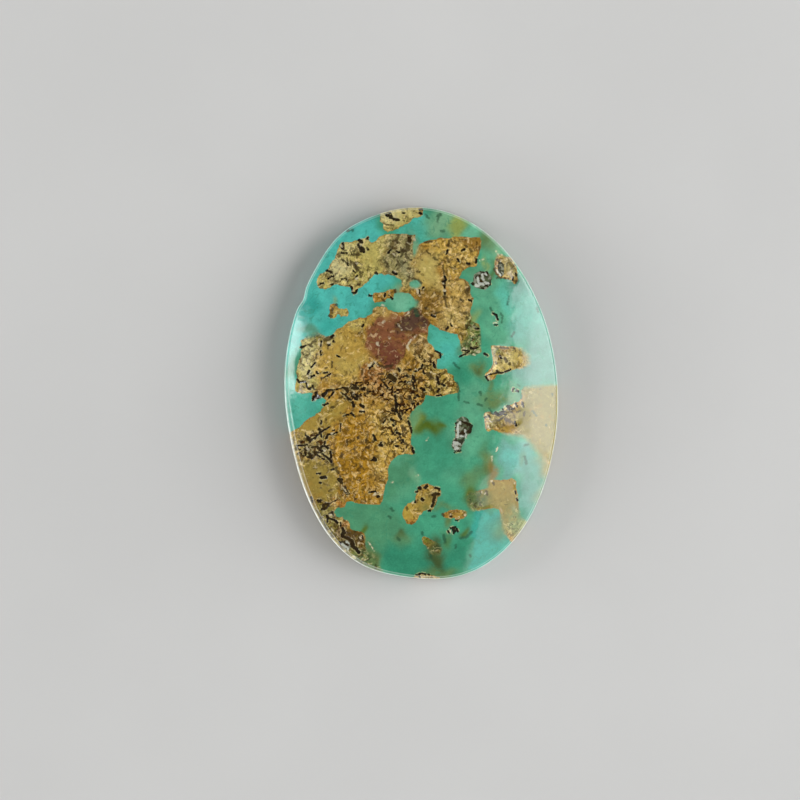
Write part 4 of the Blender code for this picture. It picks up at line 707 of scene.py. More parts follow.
        (4.64, -8.12, 4.68, -8.08, 0.06), (5.22, -7.18, 5.26, -7.24, 0.06), (7.02, -7.35, 7.08, -7.5, 0.05),
        (2.78, -2.55, 2.62, -3.48, 0.06), (2.95, -2.35, 3.0, -2.45, 0.06), (2.95, -3.42, 3.05, -3.5, 0.05),
        (3.3, -2.98, 3.38, -3.06, 0.05), (2.4, -3.98, 2.68, -4.02, 0.09), (2.45, -4.4, 2.62, -4.36, 0.07),
        (2.3, -4.15, 2.35, -4.2, 0.05), (-4.85, -11.5, -4.38, -12.28, 0.018),
        (5.72, -4.82, 5.88, -4.5, 0.03), (5.34, -5.2, 5.36, -5.5, 0.04), (0.22, -3.66, 0.45, -3.35, 0.03),
        (6.45, 9.9, 6.62, 9.5, 0.04), (6.62, 9.42, 6.82, 9.18, 0.05), (6.88, 10.45, 6.92, 10.3, 0.05),
        (-2.75, 7.3, -2.55, 7.22, 0.07),
    ],
}


def linear(screen):
    """A screen colour from 0 to 255 as the linear values that shaders use."""
    value = np.asarray(screen) / 255
    return np.where(value <= 0.04045, value / 12.92, ((value + 0.055) / 1.055) ** 2.4)


PAINTS = {name: linear(screen) for name, screen in PALETTE.items()} | MARK_COLOURS


def smooth(low, high, value):
    """A smooth step from 0 to 1 as the value goes from low to high."""
    share = np.clip((value - low) / (high - low), 0, 1)
    return share * share * (3 - 2 * share)


# Form of the stone


def outline_radius(angle, least_spread=0):
    """Radius of the outline in a direction, with the departures that are wide enough."""
    oval = 1 / np.hypot(np.cos(angle) / HALF_WIDTH, np.sin(angle) / HALF_LENGTH)
    for at, spread, rise in OUTLINE_DEPARTURES.values():
        if spread > least_spread:
            apart = (np.degrees(angle) - at + 180) % 360 - 180
            oval = oval + rise * np.exp(-((apart / spread) ** 2))
    return oval


def bevel_share(angle):
    """How much of the extra width of the bevel there is in one direction, from 0 to 1."""
    apart = (np.degrees(angle) - WIDE_BEVEL_ANGLE + 180) % 360 - 180
    return np.exp(-((apart / WIDE_BEVEL_SPREAD) ** 2))


def bevel_width(angle):
    return BEVEL_WIDTH + WIDE_BEVEL * bevel_share(angle)


def wear(x, y):
    """How deep the hollows and pits are at a place."""
    depth = np.zeros_like(x)
    for middle_x, middle_y, half_x, half_y, turn, hollow_depth in WORN_HOLLOWS.values():
        across, up = x - middle_x, y - middle_y
        cosine, sine = math.cos(math.radians(turn)), math.sin(math.radians(turn))
        along = (across * cosine + up * sine) / half_x
        aside = (up * cosine - across * sine) / half_y
        depth += hollow_depth * np.exp(-((along**2 + aside**2) ** 2))
    for middle_x, middle_y, radius, pit_depth in PITS.values():
        depth += PIT_SHARE * pit_depth * np.exp(-((x - middle_x) ** 2 + (y - middle_y) ** 2) / radius**2)
    return depth


def pit_share(x, y):
    """How much a pit darkens the colour at a place. The darkening reaches a little past the pit."""
    share = np.zeros_like(x)
    for middle_x, middle_y, radius, _ in PITS.values():
        away = (x - middle_x) ** 2 + (y - middle_y) ** 2
        share = np.maximum(share, np.exp(-away / (PIT_DARKENING_REACH * radius) ** 2))
    return share


def dome_height(ring, x, y):
    arc_at_edge = math.sqrt(DOME_SPHERE**2 - 1)
    arc = (np.sqrt(DOME_SPHERE**2 - ring**2) - arc_at_edge) / (DOME_SPHERE - arc_at_edge)
    fade = np.clip((1 - ring) / WEAR_FADE, 0, 1)
    return DOME_EDGE_HEIGHT + (HEIGHT - DOME_EDGE_HEIGHT) * arc - fade * wear(x, y)


def disc_grid(cells_x, cells_y):
    """Ring and angle of each point of a square grid that is drawn out to a disc."""
    u, v = np.meshgrid(np.linspace(-1, 1, cells_x + 1), np.linspace(-1, 1, cells_y + 1))
    u, v = u.ravel(), v.ravel()
    wide = np.abs(u) > np.abs(v)
    safe_u, safe_v = np.where(wide, u, 1.0), np.where(wide | (v == 0), 1.0, v)
    ring = np.where(wide, u, v)
    angle = np.where(wide, math.pi / 4 * v / safe_u, math.pi / 2 - math.pi / 4 * u / safe_v)
    return np.abs(ring), np.where(ring < 0, angle + math.pi, angle)


def grid_rim(cells_x, cells_y):
    """Indices of the grid's outer points, anticlockwise from its lower left corner."""
    row = cells_x + 1
    foot = list(range(cells_x))
    right = [cells_x + k * row for k in range(cells_y)]
    top = [cells_y * row + cells_x - k for k in range(cells_x)]
    left = [(cells_y - k) * row for k in range(cells_y)]
    return np.array(foot + right + top + left)


def grid_faces(cells_x, cells_y):
    """The grid's cells as rows of four indices."""
    row = cells_x + 1
    corner = (np.arange(cells_y)[:, None] * row + np.arange(cells_x)[None, :]).ravel()
    return np.stack([corner, corner + 1, corner + row + 1, corner + row], axis=1)


FACE_CELLS = (232, 316)
BACK_CELLS = (58, 79)
RIM_RATIO = FACE_CELLS[0] // BACK_CELLS[0]
BACK_MARGIN = 0.12  # between the wall's last ring and the grid of the back

# The bevel's section from dome to wall, where it is plain and where it is widest: share of its width,
# share of its drop
PLAIN_BEVEL = [(0.20, 0.12), (0.42, 0.28), (0.64, 0.48), (0.83, 0.70), (0.95, 0.88), (1.0, 1.0)]
HOLLOW_BEVEL = [(0.06, 0.14), (0.14, 0.28), (0.42, 0.38), (0.70, 0.50), (0.88, 0.72), (1.0, 1.0)]
# The wall and the rim of the back: height, inset from the widest outline
WALL = [(1.72, 0.095), (1.4, 0.07), (1.0, 0.045), (0.6, 0.012), (0.46, 0.004), (0.37, 0.02),
        (0.10, 0.30), (0.03, 0.37), (0.0, 0.42), (0.0, 0.55)]
# How much painted highlight lies on each ring of the bevel and then of the wall: a whitish line that stands
# for the light along the rim
RIM_HIGHLIGHT_SHARES = [0.25, 0.0, 0.0, 0.2, 0.85, 1.0, 0.9, 0.5, 0.15, 0.0, 0.0, 0.1, 0.1, 0.0, 0.0, 0.0]


def stone_points():
    """Points and faces of the whole stone: domed face, bevel, wall and back. Then how many points the face
    has, where the back starts, and how much painted rim highlight each point has."""
    ring, angle = disc_grid(*FACE_CELLS)
    broad = outline_radius(angle, NARROW_DEPARTURE)
    narrow = outline_radius(angle) - broad
    reach = ring * (broad - GIRDLE_LEAN - bevel_width(angle)) + smooth(CHIP_REACH, 1.0, ring) * narrow
    x, y = reach * np.cos(angle), reach * np.sin(angle)
    ring_there = reach / (broad - GIRDLE_LEAN - bevel_width(angle))
    z = dome_height(ring_there, x, y)
    layers = [np.stack([x, y, z], axis=1)]
    faces = grid_faces(*FACE_CELLS).tolist()

    rim = grid_rim(*FACE_CELLS)
    rim_angle = angle[rim]
    reach, share = outline_radius(rim_angle), bevel_share(rim_angle)
    drop = z[rim] - GIRDLE_TOP
    sections = []
    for plain, hollow in zip(PLAIN_BEVEL, HOLLOW_BEVEL):
        out = plain[0] + (hollow[0] - plain[0]) * share
        down = plain[1] + (hollow[1] - plain[1]) * share
        inset = GIRDLE_LEAN + bevel_width(rim_angle) * (1 - out)
        sections.append((reach - inset, z[rim] - drop * down))
    for height, inset in WALL:
        sections.append((reach - inset, np.full_like(reach, height)))

    above = rim
    start = len(layers[0])
    count = len(rim)
    for radius, height in sections:
        layers.append(np.stack([radius * np.cos(rim_angle), radius * np.sin(rim_angle), height], axis=1))
        below = start + np.arange(count)
        faces += np.stack([above, below, np.roll(below, -1), np.roll(above, -1)], axis=1).tolist()
        above = below
        start += count

    ring, angle = disc_grid(*BACK_CELLS)
    edge = outline_radius(angle) - WALL[-1][1] - BACK_MARGIN
    layers.append(np.stack([ring * edge * np.cos(angle), ring * edge * np.sin(angle), 0 * ring], axis=1))
    faces += (start + grid_faces(*BACK_CELLS)[:, ::-1]).tolist()
    inner = start + grid_rim(*BACK_CELLS)
    for k in range(len(inner)):
        here, beyond = int(inner[k]), int(inner[(k + 1) % len(inner)])
        outer = [int(above[(RIM_RATIO * k + step) % count]) for step in range(RIM_RATIO + 1)]
        middle = RIM_RATIO // 2
        faces += [[outer[step], here, outer[step + 1]] for step in range(middle)]
        faces.append([outer[middle], here, beyond])
        faces += [[outer[step], beyond, outer[step + 1]] for step in range(middle, RIM_RATIO)]
    rim_highlight_share = [np.zeros(len(layers[0]))]
    rim_highlight_share += [np.full(count, share_here) for share_here in RIM_HIGHLIGHT_SHARES]
    rim_highlight_share.append(np.zeros(len(layers[-1])))
    return np.concatenate(layers), faces, len(layers[0]), start, np.concatenate(rim_highlight_share)


# The natural pattern, worked out for every point of the surface

# Speckle of the rock: one short curved grain at each point of a square net, or none
SPECKLE_SPACING = 0.40
SPECKLE_JITTER = 0.19
SPECKLE_LENGTHS = (0.22, 0.70)
SPECKLE_HALF_WIDTHS = (0.035, 0.085)
SPECKLE_TAPER = (0.75, 1.0, 0.6)
SPECKLE_BEND = 1.2
SPECKLE_CROWD = 0.85  # share of grains at which every point of the net has one
SPECKLE_MARGIN = 0.05  # how far outside the rock a grain may start
# The glints are painted highlights: pale grains strewn the same way as the dark speckle
SPECKLES = {"speckle": (11, 0.0), "glints": (23, 0.20)}  # seed of the draws, shift of the net


def grown_speckle(seed, shift):
    """Curved strokes strewn over the rock as thickly as its grains are."""
    chance = np.random.default_rng(seed)
    across = np.arange(-HALF_WIDTH, HALF_WIDTH, SPECKLE_SPACING) + shift
    up = np.arange(-HALF_LENGTH, HALF_LENGTH, SPECKLE_SPACING) + shift
    x, y = (part.ravel() for part in np.meshgrid(across, up))
    x = x + chance.uniform(-SPECKLE_JITTER, SPECKLE_JITTER, x.size)
    y = y + chance.uniform(-SPECKLE_JITTER, SPECKLE_JITTER, y.size)
    share = smooth(0.0, SPECKLE_CROWD, strewn(x, y, GRAIN_SHARE, GRAIN_SHADES))
    kept = (chance.random(x.size) < share) & (rock_distance(x, y) > -SPECKLE_MARGIN)
    x, y = x[kept], y[kept]
    heading = chance.uniform(0, 2 * math.pi, x.size)
    turn = chance.uniform(-SPECKLE_BEND, SPECKLE_BEND, x.size)
    length = chance.uniform(*SPECKLE_LENGTHS, x.size) / len(SPECKLE_TAPER)
    half_width = chance.uniform(*SPECKLE_HALF_WIDTHS, x.size)
    strokes = []
    for taper in SPECKLE_TAPER:
        end_x, end_y = x + length * np.cos(heading), y + length * np.sin(heading)
        strokes += zip(x, y, end_x, end_y, taper * half_width)
        x, y, heading = end_x, end_y, heading + turn
    return strokes


def segment_distance(x, y, start, end):
    """Distance to a straight line from start to end."""
    run = np.subtract(end, start)
    share = ((x - start[0]) * run[0] + (y - start[1]) * run[1]) / max(run @ run, 1e-9)
    share = np.clip(share, 0, 1)
    return np.hypot(x - start[0] - share * run[0], y - start[1] - share * run[1])


def inside_distance(x, y, outline):
    """Distance to an outline, positive inside it."""
    nearest = np.full_like(x, 9.0)
    inside = np.zeros(len(x), bool)
    for start, end in zip(outline, outline[1:] + outline[:1]):
        nearest = np.minimum(nearest, segment_distance(x, y, start, end))
        if start[1] != end[1]:
            crossing = start[0] + (y - start[1]) * (end[0] - start[0]) / (end[1] - start[1])
            inside ^= ((start[1] > y) != (end[1] > y)) & (x < crossing)
    return np.where(inside, nearest, -nearest)


def rock_distance(x, y):
    """Distance to the border of the rock, positive inside the rock."""
    distance = np.full_like(x, -9.0)
    for outline in ROCK.values():
        distance = np.maximum(distance, inside_distance(x, y, outline))
    for middle_x, middle_y, half_x, half_y in WINDOWS.values():
        away = (np.hypot((x - middle_x) / half_x, (y - middle_y) / half_y) - 1) * min(half_x, half_y)
        distance = np.minimum(distance, away)
    return distance


def dab(x, y, middle_x, middle_y, half_x, half_y):
    """A soft spot: 1 in its middle, about a third at its half sizes, then quickly 0."""
    return np.exp(-((((x - middle_x) / half_x) ** 2 + ((y - middle_y) / half_y) ** 2) ** 1.5))


def wander(x, y):
    """The same places pushed about by a few waves, which makes soft spots irregular."""
    across = 0.22 * np.sin(1.9 * y + 0.6 * x + 1.0) + 0.12 * np.sin(4.3 * y - 2.1 * x + 0.4)
    up = 0.22 * np.sin(2.1 * x - 0.7 * y + 2.2) + 0.12 * np.sin(4.6 * x + 1.7 * y + 1.9)
    return x + across, y + up


def painted(x, y, ground, zones, shades):
    """The ground's colour with the zones and then the shades laid over it."""
    x, y = wander(x, y)
    colour = np.tile(PAINTS[ground], (len(x), 1))
    for name, softness, outline in zones.values():
        share = smooth(-softness, softness, inside_distance(x, y, outline))[:, None]
        colour = colour * (1 - share) + PAINTS[name] * share
    for name, *spot, strength in shades:
        share = (strength * dab(x, y, *spot))[:, None]
        colour = colour * (1 - share) + PAINTS[name] * share
    return colour


def strewn(x, y, ground, shades):
    """A value that is the ground's, except where a shade gives it another level."""
    x, y = wander(x, y)
    amount = np.full_like(x, ground)
    for level, *spot in shades:
        share = dab(x, y, *spot)
        amount = amount * (1 - share) + level * share
    return amount


STROKE_FIELD = 0.5  # how far around a stroke its distance is worked out


def stroke_distance(x, y, strokes):
    """Distance to the edge of the nearest stroke, negative inside it."""
    nearest = np.full_like(x, STROKE_FIELD)
    for start_x, start_y, end_x, end_y, half_width in strokes:
        middle_x, middle_y = (start_x + end_x) / 2, (start_y + end_y) / 2
        reach = math.hypot(end_x - start_x, end_y - start_y) / 2 + STROKE_FIELD
        near = np.flatnonzero((np.abs(x - middle_x) < reach) & (np.abs(y - middle_y) < reach))
        away = segment_distance(x[near], y[near], (start_x, start_y), (end_x, end_y)) - half_width
        nearest[near] = np.minimum(nearest[near], away)
    return nearest


NO_STROKE = 1.0  # the distance to a stroke where there is none


def make_stone():
    """The whole stone as one mesh that carries its pattern as values on its points."""
    points, faces, face_count, back_start, rim_highlight_share = stone_points()
    x, y = points[:, 0].copy(), points[:, 1].copy()
    on_back = np.zeros(len(x))
    on_back[back_start:] = 1
    on_back[points[:, 2] < BACK_LEVEL] = 1
    on_wall = np.ones(len(x))
    on_wall[:face_count] = 0

    # On the back the same veins come out elsewhere, because they slant through the stone.
    x += on_back * (1.1 * np.sin(0.55 * y + 1.3) + 0.6 * np.sin(0.9 * points[:, 0] + 0.7 * y))
    y += on_back * (1.0 * np.sin(0.6 * points[:, 0] + 2.0) + 0.5 * np.sin(1.1 * y))

    rock = rock_distance(x, y)
    strokes = {name: stroke_distance(x, y, STROKES[name]) for name in STROKES}
    for name, growth in SPECKLES.items():
        strokes[name] = stroke_distance(x, y, grown_speckle(*growth))
    for name in strokes:
        strokes[name] = np.where(on_back > 0, NO_STROKE, strokes[name])

    metal = np.zeros_like(x)
    for middle_x, middle_y, half_x, half_y in BRIGHT_POCKETS.values():
        away = np.hypot((x - middle_x) / half_x, (y - middle_y) / half_y)
        metal = np.maximum(metal, smooth(*POCKET_FADE, away))

    # Rock lies a little lower than the turquoise where their border is sharp, and the widest black
    # strokes are open pits.
    on_face = 1 - on_wall
    fade = strewn(x, y, 0.0, FADE_SHADES)
    points[:, 2] -= on_face * ROCK_DROP * smooth(0.0, ROCK_SHORE, rock) * (1 - fade)
    points[:, 2] -= on_face * BLACK_DROP * smooth(0.0, BLACK_SHORE, -strokes["black"])

    mesh = bpy.data.meshes.new("turquoise_cabochon_surface")
    mesh.from_pydata((points * MM).tolist(), [], faces)
    mesh.shade_smooth()
    fields = {
        "rock": rock,
        "grains": strewn(x, y, GRAIN_SHARE, GRAIN_SHADES),
        "fade": fade,
        "metal": metal * on_face,
        "pit": pit_share(points[:, 0], points[:, 1]) * on_face,
        "rim": rim_highlight_share,
        "back": on_back,
        "wall": on_wall,
        "girdle": on_wall * smooth(GIRDLE_TOP, GIRDLE_TOP - GIRDLE_FADE, points[:, 2]),
        **strokes,
    }
    for name, values in fields.items():
        mesh.attributes.new(name, "FLOAT", "POINT").data.foreach_set("value", values.astype(np.float32))
    colours = {
        "rock_colour": painted(x, y, "ochre", ROCK_ZONES, ROCK_SHADES),
        "blue_colour": painted(x, y, "green turquoise", BLUE_ZONES, BLUE_SHADES),
    }
    for name, values in colours.items():
        rgba = np.concatenate([values, np.ones((len(x), 1))], axis=1).astype(np.float32)
        mesh.attributes.new(name, "FLOAT_COLOR", "POINT").data.foreach_set("color", rgba.ravel())
    mesh.materials.append(stone_material())
    stone = bpy.data.objects.new("turquoise_cabochon_surface", mesh)
    bpy.context.scene.collection.objects.link(stone)
    return stone


# Material

# Noises cut into patches: scale, detail, roughness and warp of the noise, the two levels between which
# it changes, and the values below and above them
PATTERNS = {
    "clouds": (0.9, 4.0, 0.6, 0.0, 0.30, 0.70, 0.88, 1.12),
    "mottle": (7.0, 3.0, 0.6, 0.0, 0.25, 0.75, 0.96, 1.14),
    "veil": (1.6, 3.0, 0.6, 0.4, 0.58, 0.72, 0.0, 0.30),
    "grain": (4.5, 4.0, 0.7, 0.0, 0.30, 0.70, -0.35, 0.35),
    "patches": (2.0, 3.0, 0.6, 0.5, 0.30, 0.70, -0.20, 0.20),
    "rusty": (1.7, 2.0, 0.5, 0.0, 0.56, 0.66, 0.0, 0.22),
    "chalky": (2.4, 2.0, 0.6, 0.6, 0.55, 0.68, 0.0, 0.22),
    "contact": (2.0, 2.0, 0.5, 0.0, 0.40, 0.55, 0.0, 1.0),
    "shine": (1.5, 1.0, 0.5, 0.0, 0.35, 0.65, 0.35, 0.90),
    "umber": (1.4, 1.0, 0.5, 0.4, 0.46, 0.64, 0.0, 1.0),
    # Painted highlight: a pale rim around the black marks
    "mark_edge_highlight": (3.4, 1.0, 0.5, 0.0, 0.50, 0.58, 0.0, 1.0),
    # Breaks in the pale strokes, which are mostly painted glints
    "pale_stroke_breaks": (4.2, 1.0, 0.5, 0.0, 0.42, 0.56, 0.10, 0.75),
    # Breaks in the painted highlight along the rim
    "rim_highlight_breaks": (1.4, 3.0, 0.5, 0.0, 0.30, 0.60, 0.70, 1.0),
    "polish": (3.0, 3.0, 0.5, 0.0, 0.30, 0.70, 0.10, 0.15),
    "floor": (0.05, 2.0, 0.5, 0.0, 0.30, 0.70, 0.97, 1.0),
}
# Noises that fray a border: scale, detail, roughness, and how far they push it
FRAYS = {
    "border": (3.0, 4.0, 0.65, 0.30),
    "speckle": (8.0, 2.0, 0.5, 0.14),
    "strokes": (5.5, 3.0, 0.6, 0.26),
    "pockets": (2.6, 3.0, 0.5, 1.8),
}
# Short curls: their scale, their width, and the scale of the noise that breaks them up
# The pale curls are painted highlights beside the dark ones
CURLS = {"threads": (1.5, 0.07, 1.3), "fine": (3.0, 0.11, 2.7), "pale": (2.6, 0.10, 1.9)}
THREAD_SHARE = 0.35
THREAD_SHIFT = (3.7, 1.9, 0.4)
HIGHLIGHT_CURL_SHIFT = (0.09, -0.08, 0.0)
HIGHLIGHT_CURL_STRENGTH = 0.45
# Paints laid over the stone, and how strongly
LAYERS = {
    "threads": ("dark green turquoise", 0.35),
    "contact": ("rust", 0.5),
    # Painted highlight around the black marks
    "mark_edge_highlight": ("cream", 0.5),
    "green": ("green mark", 0.7),
    "brown": ("brown mark", 0.8),
    "black": ("black mark", 0.97),
    "pocket": ("slate", 0.9),
    # Painted light and shade on the facets of the metallic grains
    "painted shaded facets": ("painted shaded facet", 0.85),
    "painted lit facets": ("painted lit facet", 0.4),
    # Darker in and around the pits
    "pit darkening": ("dark brown", 0.30),
    "dust": ("dull khaki", 0.35),
}
STROKE_BLURS = {"green": 0.07, "brown": 0.04, "pale": 0.03, "black": 0.025}
STROKE_SWELL = 0.03
SHARP_BORDER = 0.025
FADING_BORDER = 0.34
# Painted shade: the share by which the wall below the girdle's top is darkened
WALL_PAINTED_SHADE = -0.42
WALL_MATTE = 0.5
MATTE_ROUGHNESS = 0.45
DARK_ROUGHNESS = -0.05
REFRACTION = 1.6
GRAIN_RELIEF = 0.35
# Depths of the relief that is too fine for the mesh
RELIEF_DEPTH = 0.004 * MM
SWIRL_DEPTH = 0.05 * MM
SWIRL_STRENGTH = 0.5
GRIT_DEPTH = 0.03 * MM


class Weaver:
    """Adds shader nodes to one material and links them as it goes."""

    def __init__(self, material):
        material.use_nodes = True
        self.nodes = material.node_tree.nodes
        self.links = material.node_tree.links
        self.shader = self.nodes["Principled BSDF"]
        self.here = self.place((0, 0, 0))

    def put(self, value, socket):
        if isinstance(value, bpy.types.NodeSocket):
            self.links.new(value, socket)
        elif isinstance(value, str):
            socket.default_value = (*PAINTS[value], 1)
        else:
            socket.default_value = value

    def attribute(self, name, output="Fac"):
        node = self.nodes.new("ShaderNodeAttribute")
        node.attribute_name = name
        return node.outputs[output]

    def place(self, shift):
        """Position on the object in millimetres, shifted."""
        texture = self.nodes.new("ShaderNodeTexCoord")
        mapping = self.nodes.new("ShaderNodeMapping")
        mapping.inputs["Scale"].default_value = (1 / MM, 1 / MM, 1 / MM)
        mapping.inputs["Location"].default_value = shift
        self.links.new(texture.outputs["Object"], mapping.inputs["Vector"])
        return mapping.outputs["Vector"]

    def noise(self, scale, detail=2.0, rough=0.5, warp=0.0, place=None):
        node = self.nodes.new("ShaderNodeTexNoise")
        self.put(place or self.here, node.inputs["Vector"])
        node.inputs["Scale"].default_value = scale
        node.inputs["Detail"].default_value = detail
        node.inputs["Roughness"].default_value = rough
        node.inputs["Distortion"].default_value = warp
        return node.outputs["Fac"]

    def math(self, operation, first, second=0.0, third=0.0):
        node = self.nodes.new("ShaderNodeMath")
        node.operation = operation
        self.put(first, node.inputs[0])
        self.put(second, node.inputs[1])
        self.put(third, node.inputs[2])
        return node.outputs[0]

    def plus(self, first, second):
        return self.math("ADD", first, second)

    def times(self, first, second):
        return self.math("MULTIPLY", first, second)

    def more(self, first, second):
        return self.math("MAXIMUM", first, second)

    def step(self, value, low, high, start=0.0, end=1.0):
        """A smooth step from start to end as the value goes from low to high."""
        node = self.nodes.new("ShaderNodeMapRange")
        node.interpolation_type = "SMOOTHSTEP"
        self.put(value, node.inputs["Value"])
        self.put(low, node.inputs["From Min"])
        self.put(high, node.inputs["From Max"])
        self.put(start, node.inputs["To Min"])
        self.put(end, node.inputs["To Max"])
        return node.outputs["Result"]

    def pattern(self, name):
        scale, detail, rough, warp, low, high, start, end = PATTERNS[name]
        return self.step(self.noise(scale, detail, rough, warp), low, high, start, end)

    def fray(self, name):
        scale, detail, rough, push = FRAYS[name]
        return self.times(self.math("SUBTRACT", self.noise(scale, detail, rough), 0.5), push)

    def mix(self, share, first, second):
        node = self.nodes.new("ShaderNodeMix")
        node.data_type = "RGBA"
        self.put(share, node.inputs["Factor"])
        self.put(first, node.inputs[6])
        self.put(second, node.inputs[7])
        return node.outputs[2]

    def lay(self, share, layer, colour):
        """The colour with one of the layers laid over it."""
        paint, strength = LAYERS[layer]
        return self.mix(self.times(share, strength), colour, paint)

    def brighten(self, colour, factor):
        node = self.nodes.new("ShaderNodeVectorMath")
        node.operation = "SCALE"
        self.put(colour, node.inputs[0])
        self.put(factor, node.inputs["Scale"])
        return node.outputs[0]

    def bump(self, height, distance, strength=1.0, normal=None):
        node = self.nodes.new("ShaderNodeBump")
        node.inputs["Strength"].default_value = strength
        node.inputs["Distance"].default_value = distance
        self.put(height, node.inputs["Height"])
        if normal:
            self.put(normal, node.inputs["Normal"])
        return node.outputs["Normal"]


def curls(w, name, share, place=None):
    """Short curved strokes: the thin level lines of one noise, broken up by another. 1 in a stroke."""
    scale, width, gate_scale = CURLS[name]
    lines = w.noise(scale, 0.0, 0.5, 1.2, place)
    away = w.math("ABSOLUTE", w.math("SUBTRACT", lines, 0.5))
    uneven = w.step(w.noise(0.8 * scale, 1.0, place=place), 0.35, 0.65, 0.5 * width, 1.3 * width)
    line = w.step(away, uneven, w.times(uneven, 0.65))
    threshold = w.math("MULTIPLY_ADD", share, -0.40, 0.74)
    gate = w.noise(gate_scale, 0.0, 0.5, 0.5, place)
    opened = w.step(w.math("SUBTRACT", gate, threshold), -0.02, 0.03)
    return w.times(line, opened)


def turquoise(w):
    """Broad shades with faint clouds, a darker veil and thin threads."""
    cloudy = w.times(w.pattern("clouds"), w.pattern("mottle"))
    blue = w.brighten(w.attribute("blue_colour", "Color"), cloudy)
    blue = w.mix(w.pattern("veil"), blue, "dark green turquoise")
    threads = curls(w, "threads", THREAD_SHARE, w.place(THREAD_SHIFT))
    return w.lay(threads, "threads", blue)


def host_rock(w, reach, fade):
    """Broad shades with grain, a rusty contact line, dark marks and, as painted highlights, pale glints and
    curls. Also the two dark marks alone.
    """
    grains = w.attribute("grains")
    coarse = w.step(grains, 0.0, 0.4, 0.3, 1.0)
    grain = w.math("MULTIPLY_ADD", w.plus(w.pattern("grain"), w.pattern("patches")), coarse, 1.0)
    stone = w.brighten(w.attribute("rock_colour", "Color"), grain)
    stone = w.mix(w.pattern("rusty"), stone, "deep ochre")
    stone = w.mix(w.pattern("chalky"), stone, "khaki")
    contact = w.times(w.step(reach, 0.13, 0.03), w.pattern("contact"))
    contact = w.times(contact, w.step(fade, 0.6, 0.1))
    stone = w.lay(contact, "contact", stone)

    # Where grains are thick, the curls are many and the dark marks deep.
    curl_share = w.math("MULTIPLY_ADD", grains, 0.9, 0.05)
    frayed = w.fray("speckle")
    # Painted highlights: pale glints and curls, laid as a brightened copy of the stone
    glints = w.step(w.plus(w.attribute("glints"), frayed), 0.02, -0.01)
    highlight_curls = curls(w, "pale", curl_share, w.place(HIGHLIGHT_CURL_SHIFT))
    painted_highlight = w.more(w.times(glints, w.pattern("shine")), w.times(highlight_curls, HIGHLIGHT_CURL_STRENGTH))
    stone = w.mix(painted_highlight, stone, w.mix(0.5, w.brighten(stone, 1.7), "lit grain"))
    fine_curls = curls(w, "fine", curl_share)
    faint = w.step(grains, 0.4, 1.0, 0.62, 0.92)
    stone = w.mix(w.times(fine_curls, faint), stone, w.brighten(stone, 0.26))
    speckle = w.step(w.plus(w.attribute("speckle"), frayed), 0.03, 0.0)
    umber = w.mix(w.pattern("umber"), "black umber", "red umber")
    depth = w.step(grains, 0.35, 0.95, 0.45, 1.0)
    stone = w.mix(w.times(speckle, depth), stone, umber)
    return stone, speckle, fine_curls


def placed_strokes(w):
    """The strokes that are placed one by one, with ragged edges and an uneven width."""
    swell = w.math("SUBTRACT", w.fray("strokes"), STROKE_SWELL)
    strokes = {}
    for name, blur in STROKE_BLURS.items():
        strokes[name] = w.step(w.plus(w.attribute(name), swell), blur, -blur)
    return strokes


def with_marks(w, colour, strokes):
    """The colour with the placed strokes (the pale ones mostly painted glints), a painted highlight round the
    black marks, and pockets of metallic grains with painted lit and shaded facets.
    """
    # Painted highlight: a pale cream rim around the black marks, broken up by a noise
    mark_edge_highlight = w.times(w.step(w.attribute("black"), 0.15, 0.03), w.pattern("mark_edge_highlight"))
    colour = w.lay(mark_edge_highlight, "mark_edge_highlight", colour)
    colour = w.lay(strokes["green"], "green", colour)
    colour = w.lay(strokes["brown"], "brown", colour)

    # Pockets of metallic grains: painted lit facets among painted shaded ones, over a slate colour
    pocket = w.attribute("metal")
    metal = w.step(w.plus(pocket, w.fray("pockets")), 0.45, 0.62)
    metal = w.times(metal, w.step(pocket, 0.02, 0.2))
    facets = w.noise(2.6, 1.0, 0.5, 0.8)
    colour = w.lay(metal, "pocket", colour)
    colour = w.lay(w.times(w.step(facets, 0.48, 0.43), metal), "painted shaded facets", colour)
    colour = w.lay(w.times(w.step(facets, 0.54, 0.60), metal), "painted lit facets", colour)

    colour = w.lay(strokes["black"], "black", colour)
    # Pale strokes: mostly painted glints, whiter on the metallic grains
    unbroken = w.more(w.pattern("pale_stroke_breaks"), w.times(metal, 0.8))
    pale_stroke_colour = w.mix(metal, "cream flake and glint", "bright metal glint")
    return w.mix(w.times(strokes["pale"], unbroken), colour, pale_stroke_colour)


def with_wear(w, colour, pit, back):
    """The colour darkened in and around the pits, with a painted highlight along the rim, painted shade on
    the wall and dust on the ground back.
    """
    # Darker in and around the pits
    colour = w.lay(pit, "pit darkening", colour)
    # Painted highlight along the rim, broken up by a noise
    rim_highlight = w.times(w.attribute("rim"), w.pattern("rim_highlight_breaks"))
    colour = w.mix(rim_highlight, colour, "rim highlight white")
    # Painted shade: the wall below the girdle's top is darkened
    wall_painted_shade = w.times(w.attribute("girdle"), WALL_PAINTED_SHADE)
    colour = w.brighten(colour, w.plus(wall_painted_shade, 1.0))
    return w.lay(back, "dust", colour)


